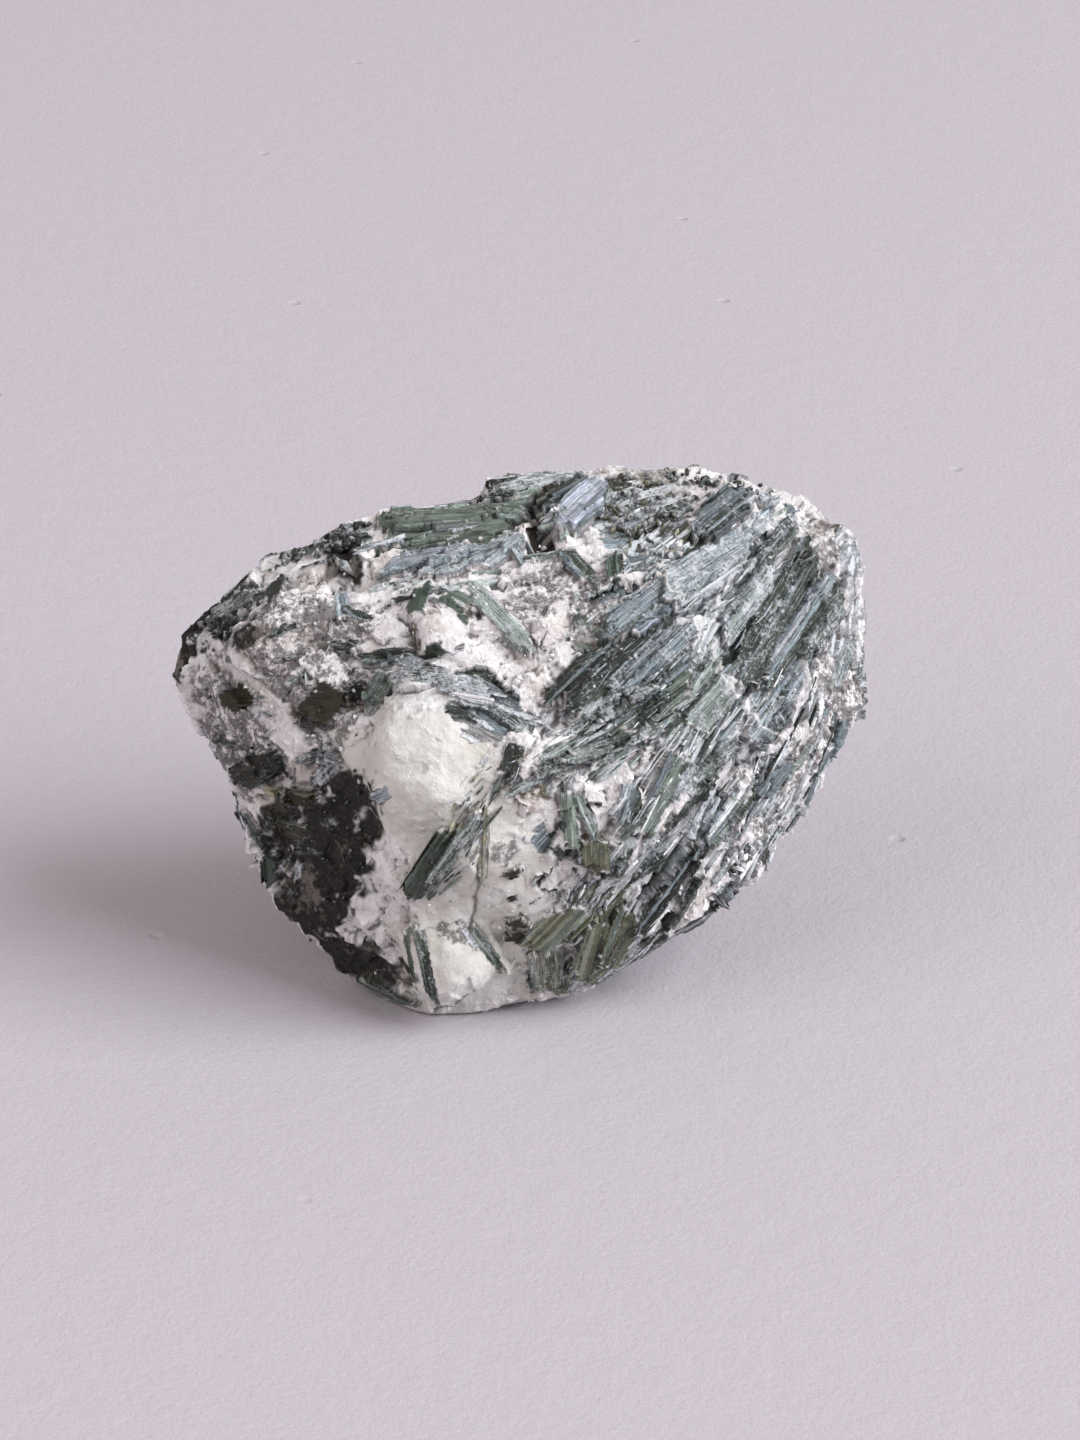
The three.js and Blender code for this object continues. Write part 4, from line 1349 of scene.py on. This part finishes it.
rockPaints = {
    "white": paint(247, 245, 246),
    "white shade": paint(226, 221, 223),
    "white stain": paint(188, 173, 162),
    "white grain": paint(160, 156, 160),
    "cream": paint(215, 214, 211),
    "cream shade": paint(203, 201, 195),
    "cream stain": paint(184, 177, 165),
    "cream grain": paint(170, 165, 158),
    "facet": paint(116, 110, 112),
    # Grey of speckled rock, darker on the nose as painted shade.
    "speckle_and_shade": paint(92, 87, 88),
    "speck": paint(50, 50, 50),
    "silvery": paint(240, 240, 242),
    "silvery shade": paint(160, 165, 164),
    # Brown of stains, also used as a painted shadow beside the knob.
    "brown_stain_and_shade": paint(92, 82, 62),
    # Black of charcoal rock, also used as painted shade in two deep holes.
    "black": paint(28, 27, 25),
    "black grain": paint(74, 72, 68),
    "black facet": paint(56, 55, 52),
    "black stain": paint(124, 118, 114),
    # Painted shade laid into the crevices of the rock.
    "hollow": paint(84, 77, 74),
    # A painted highlight laid on the ridges of the rock.
    "painted_ridge_highlight": paint(242, 241, 244),
}
bladePaints = {
    "mottle": paint(52, 60, 54),
    "film": paint(222, 227, 233),
    "hairs": paint(216, 223, 228),
    # Painted shade laid into the crevices between blades.
    "hollow": paint(48, 50, 46),
}


def talcColour(g, where):
    p = rockPaints
    cream, charcoal_and_hole_shade, brown_stain_and_shade = g.attribute("cream"), g.attribute("charcoal_and_hole_shade"), g.attribute("brown_stain_and_shade")
    speckle_and_shade, bladed = g.attribute("speckle_and_shade"), g.attribute("bladed")
    hollow, facet = g.attribute("hollow"), g.attribute("facet")
    cloudy = g.noise(where, 230, 4)
    sugary = g.noise(where, 1700, 3, 0.75)
    coarse = g.noise(where, 640, 4, 0.7)
    stains = g.noise(where, 130, 5, 0.65)
    flecks = g.flecks(where, 1300, 0.8)
    white = g.mix(g.between(cloudy, 0.38, 0.62), p["white"], p["white shade"])
    white = g.mix(g.between(stains, 0.52, 0.68, 0, 0.6), white, p["white stain"])
    white = g.mix(g.between(sugary, 0.52, 0.7, 0, 0.4), white, p["white grain"])
    creamy = g.mix(g.between(cloudy, 0.38, 0.62), p["cream"], p["cream shade"])
    creamy = g.mix(g.between(stains, 0.54, 0.7, 0, 0.6), creamy, p["cream stain"])
    creamy = g.mix(g.between(coarse, 0.56, 0.7, 0, 0.3), creamy, p["cream grain"])
    base = g.mix(cream, white, creamy)
    base = g.mix(facet * 0.14 * (1 - cream * 0.6), base, p["facet"])
    # Speckled rock goes darker grey; on the nose this is partly painted shade.
    dim = g.between(coarse + 0.4 * (cloudy - 0.5) + 0.5 * (sugary - 0.5), 0.37, 0.56) * speckle_and_shade
    base = g.mix(dim * 0.84, base, p["speckle_and_shade"])
    specks = g.between(flecks, 0.3, 0.16) * g.between(coarse, 0.44, 0.56) * (0.1 + 0.9 * speckle_and_shade)
    base = g.mix(specks * (1 - cream * 0.7), base, p["speck"])
    base = g.mix(bladed * 0.35, base, g.mix(g.between(coarse, 0.45, 0.6), p["silvery"], p["silvery shade"]))
    # Brown stains, and a painted shadow on the knob's left side.
    base = g.mix(brown_stain_and_shade * g.between(coarse, 0.36, 0.58), base, p["brown_stain_and_shade"])
    black = g.mix(g.between(sugary, 0.5, 0.72), p["black"], p["black grain"])
    black = g.mix(facet * 0.4, black, p["black facet"])
    black = g.mix(g.between(stains + 0.4 * (coarse - 0.5), 0.54, 0.64, 0, 0.7), black, p["black stain"])
    # The black of the charcoal patches, which in two deep holes is painted shade.
    base = g.mix(charcoal_and_hole_shade, base, black)
    # Painted shade darkens the rock in crevices.
    base = g.mix(g.between(hollow, 0.58, 1.0, 0, 0.7), base, p["hollow"])
    # A painted highlight lightens the ridges, less on charcoal and speckled rock.
    painted_ridge_highlight = g.between(hollow, 0.4, 0.1, 0, 0.35) * (1 - charcoal_and_hole_shade) * (1 - 0.6 * speckle_and_shade)
    return g.mix(painted_ridge_highlight, base, p["painted_ridge_highlight"]), (0.6 * sugary + 0.6 * coarse) * (1 - 0.5 * cream)


def bladeColour(g, where):
    p = bladePaints
    grain = g.node("ShaderNodeUVMap", {"uv_map": "grain"}, {})
    tint, dust = g.attribute("tint", "Color"), g.attribute("dust")
    streaks = g.noise(grain, 2.4, 4, 0.7, stretch=(0.08, 1, 1))
    hairs = g.noise(grain, 5.5, 3, 0.7, stretch=(0.05, 1, 1))
    mottle = g.noise(where, 420, 5, 0.7)
    fine = g.noise(where, 1700, 3, 0.75)
    striped = g.between(streaks + 0.7 * (hairs - 0.5), 0.34, 0.66)
    colour = g.mix(striped, grey(0.46), grey(1.75))
    colour = g.mix(g.between(dust, 0.0, 0.35, 0.3, 1.0), grey(1.0), colour)
    colour = g.mix(1.0, tint, colour, "MULTIPLY")
    colour = g.mix(g.between(mottle, 0.48, 0.66, 0, 0.45), colour, p["mottle"])
    film = g.between(mottle * 0.5 + streaks * 0.3 + fine * 0.5 + dust * 0.42, 0.76, 0.93)
    colour = g.mix(film * 0.8, colour, p["film"])
    colour = g.mix(g.between(hairs + 0.25 * dust, 0.64, 0.76, 0, 0.75), colour, p["hairs"])
    rough = g.between(hairs, 0.3, 0.7, 0.28, 0.5) + 0.25 * film
    height = 0.6 * streaks + 0.6 * hairs + 0.4 * fine + 0.4 * film
    return colour, rough, height


rockFinish = {"rough": 0.8, "bump": 0.0008, "shine": {"IOR": 1.6, "Specular IOR Level": 0.25}}
actinoliteFinish = {"bump": 0.0003, "shine": {"IOR": 1.63, "Specular IOR Level": 0.3}}


def rockMaterial():
    g = Graph("talc, calcite and actinolite")
    where = g.node("ShaderNodeTexCoord", {}, {}, "Object")
    rocky, rockyHeight = talcColour(g, where)
    green, greenRough, greenHeight = bladeColour(g, where)
    blade = g.attribute("blade")
    # Painted shade darkens the blades in crevices.
    green = g.mix(g.between(g.attribute("hollow"), 0.6, 1.0, 0, 0.65), green, bladePaints["hollow"])
    colour = g.mix(blade, rocky, green)
    rough = rockFinish["rough"] - blade * (rockFinish["rough"] - greenRough)
    height = rockyHeight * (1 - blade) + 0.6 * greenHeight * blade
    return g.finish(colour, rough, height, rockFinish["bump"], **rockFinish["shine"])


def actinoliteMaterial():
    g = Graph("actinolite")
    where = g.node("ShaderNodeTexCoord", {}, {}, "Object")
    colour, rough, height = bladeColour(g, where)
    return g.finish(colour, rough, height, actinoliteFinish["bump"], **actinoliteFinish["shine"])


# Assembly.
splinterCover = {"named": 0.12, "others": 0.15}  # how much of a blade its splinters take up
namedStrip = 2.4  # the usual width of a terrace on a blade that is laid by name
draw = np.random.default_rng(7)
carrierObject = meltedRock("carrier", ("carrier",))
carrier = BVHTree.FromObject(carrierObject, bpy.context.evaluated_depsgraph_get())
bpy.data.objects.remove(carrierObject)

facets = []
for *ends, wide, rise in rockFacets:
    facets += layBlade(carrier, face, ends, wide, rise, "chalk", 0, draw, strip=wide, named=True, bare=True)
strewn = [slab for area in slabBeds for slab in strewSlabs(carrier, area, draw)]
far = [slab for drift in drifts for slab in layDrift(carrier, drift, draw)]
named = []
for u0, v0, u1, v1, wide, rise, tone, dust, *point in faceBlades:
    ends = (u0, v0, u1, v1)
    point = point[0] if point else None
    named += layBlade(carrier, face, ends, wide, rise, tone, dust, draw, namedStrip, True, point)
print(len(named), "named blades,", len(strewn), "strewn,", len(far), "on the far sides")

stone = rockMaterial()
actinolite = actinoliteMaterial()
rock = hostRock(facets + far + strewn + named, carrier, draw)
rock.data.materials.clear()
rock.data.materials.append(stone)
parts = cutRock(rock, ("rock_front_left", "rock_front_right", "rock_back_left", "rock_back_right"))

lath = shapedLath()
bladeBed = Bed(lath)
for slab in named:
    splinters(bladeBed, slab, splinterCover["named"], draw)
lathBed = Bed(lath)
for slab in strewn:
    splinters(lathBed, slab, splinterCover["others"], draw)
for area in lathBeds:
    strewLaths(lathBed, carrier, area, draw)
farBed = Bed(lath)
for slab in far:
    splinters(farBed, slab, splinterCover["others"], draw)
crumbBed = Bed(shapedChip())
for area in crumbBeds:
    strewCrumbs(crumbBed, carrier, area, draw)

pieces = parts + [
    bedPiece("face_blades", bladeBed, actinolite),
    bedPiece("fine_laths", lathBed, actinolite),
    bedPiece("far_side_blades", farBed, actinolite),
    bedPiece("crumbs", crumbBed, actinolite),
]
for piece in pieces:
    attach(piece, "root")
    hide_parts("stone")


# Floor, light and camera.
board = {"paint": paint(192, 186, 194), "rough": 0.75, "bump": 0.0004, "size": 8}
lights = {
    "key": {"turn": 71, "elevation": 37, "size": 3.0, "power": 216, "colour": (0.97, 0.985, 1)},
    "fill": {"turn": -54, "elevation": 34, "size": 3.0, "power": 48, "colour": (1, 0.95, 0.92)},
}
lightDistance = 4.0
room = {"tone": (0.98, 0.9, 0.9, 1), "strength": 0.445}


def floorMaterial():
    g = Graph("pale painted board")
    where = g.node("ShaderNodeTexCoord", {}, {}, "Object")
    fine = g.noise(where, 900, 6, 0.75)
    dents = g.noise(where, 160, 4, 0.7)
    pits = g.between(g.flecks(where, 30), 0.05, 0.02)
    height = fine * 0.6 + dents * 0.8 - pits * 0.8
    return g.finish(board["paint"], board["rough"], height, board["bump"])


deselectAll()
bpy.ops.mesh.primitive_plane_add(size=board["size"])
floor = bpy.context.active_object
floor.name = "floor"
floor.data.materials.append(floorMaterial())

for name, light in lights.items():
    lamp = bpy.data.lights.new(name, "AREA")
    lamp.shape = "SQUARE"
    lamp.size = light["size"]
    lamp.energy = light["power"]
    lamp.color = light["colour"]
    holder = bpy.data.objects.new(name, lamp)
    bpy.context.scene.collection.objects.link(holder)
    way = viewFrom(light["turn"], light["elevation"])["toward"]
    holder.location = heart * mm + way * lightDistance
    holder.rotation_euler = way.to_track_quat("Z", "Y").to_euler()

world = bpy.data.worlds.new("studio")
bpy.context.scene.world = world
world.use_nodes = True
background = world.node_tree.nodes["Background"]
background.inputs["Color"].default_value = room["tone"]
background.inputs["Strength"].default_value = room["strength"]

lens = bpy.data.cameras.new("camera")
lens.sensor_fit = "VERTICAL"
lens.sensor_height = sight["sensor"]
lens.lens = sight["lens"]
lens.clip_start = sight["nearest"]
camera = bpy.data.objects.new("camera", lens)
bpy.context.scene.collection.objects.link(camera)
turn = Matrix((face["across"], face["up"], face["toward"])).transposed()
camera.matrix_world = Matrix.Translation(face["eye"] * mm) @ turn.to_4x4()
bpy.context.scene.camera = camera
bpy.context.scene.view_settings.view_transform = "Standard"
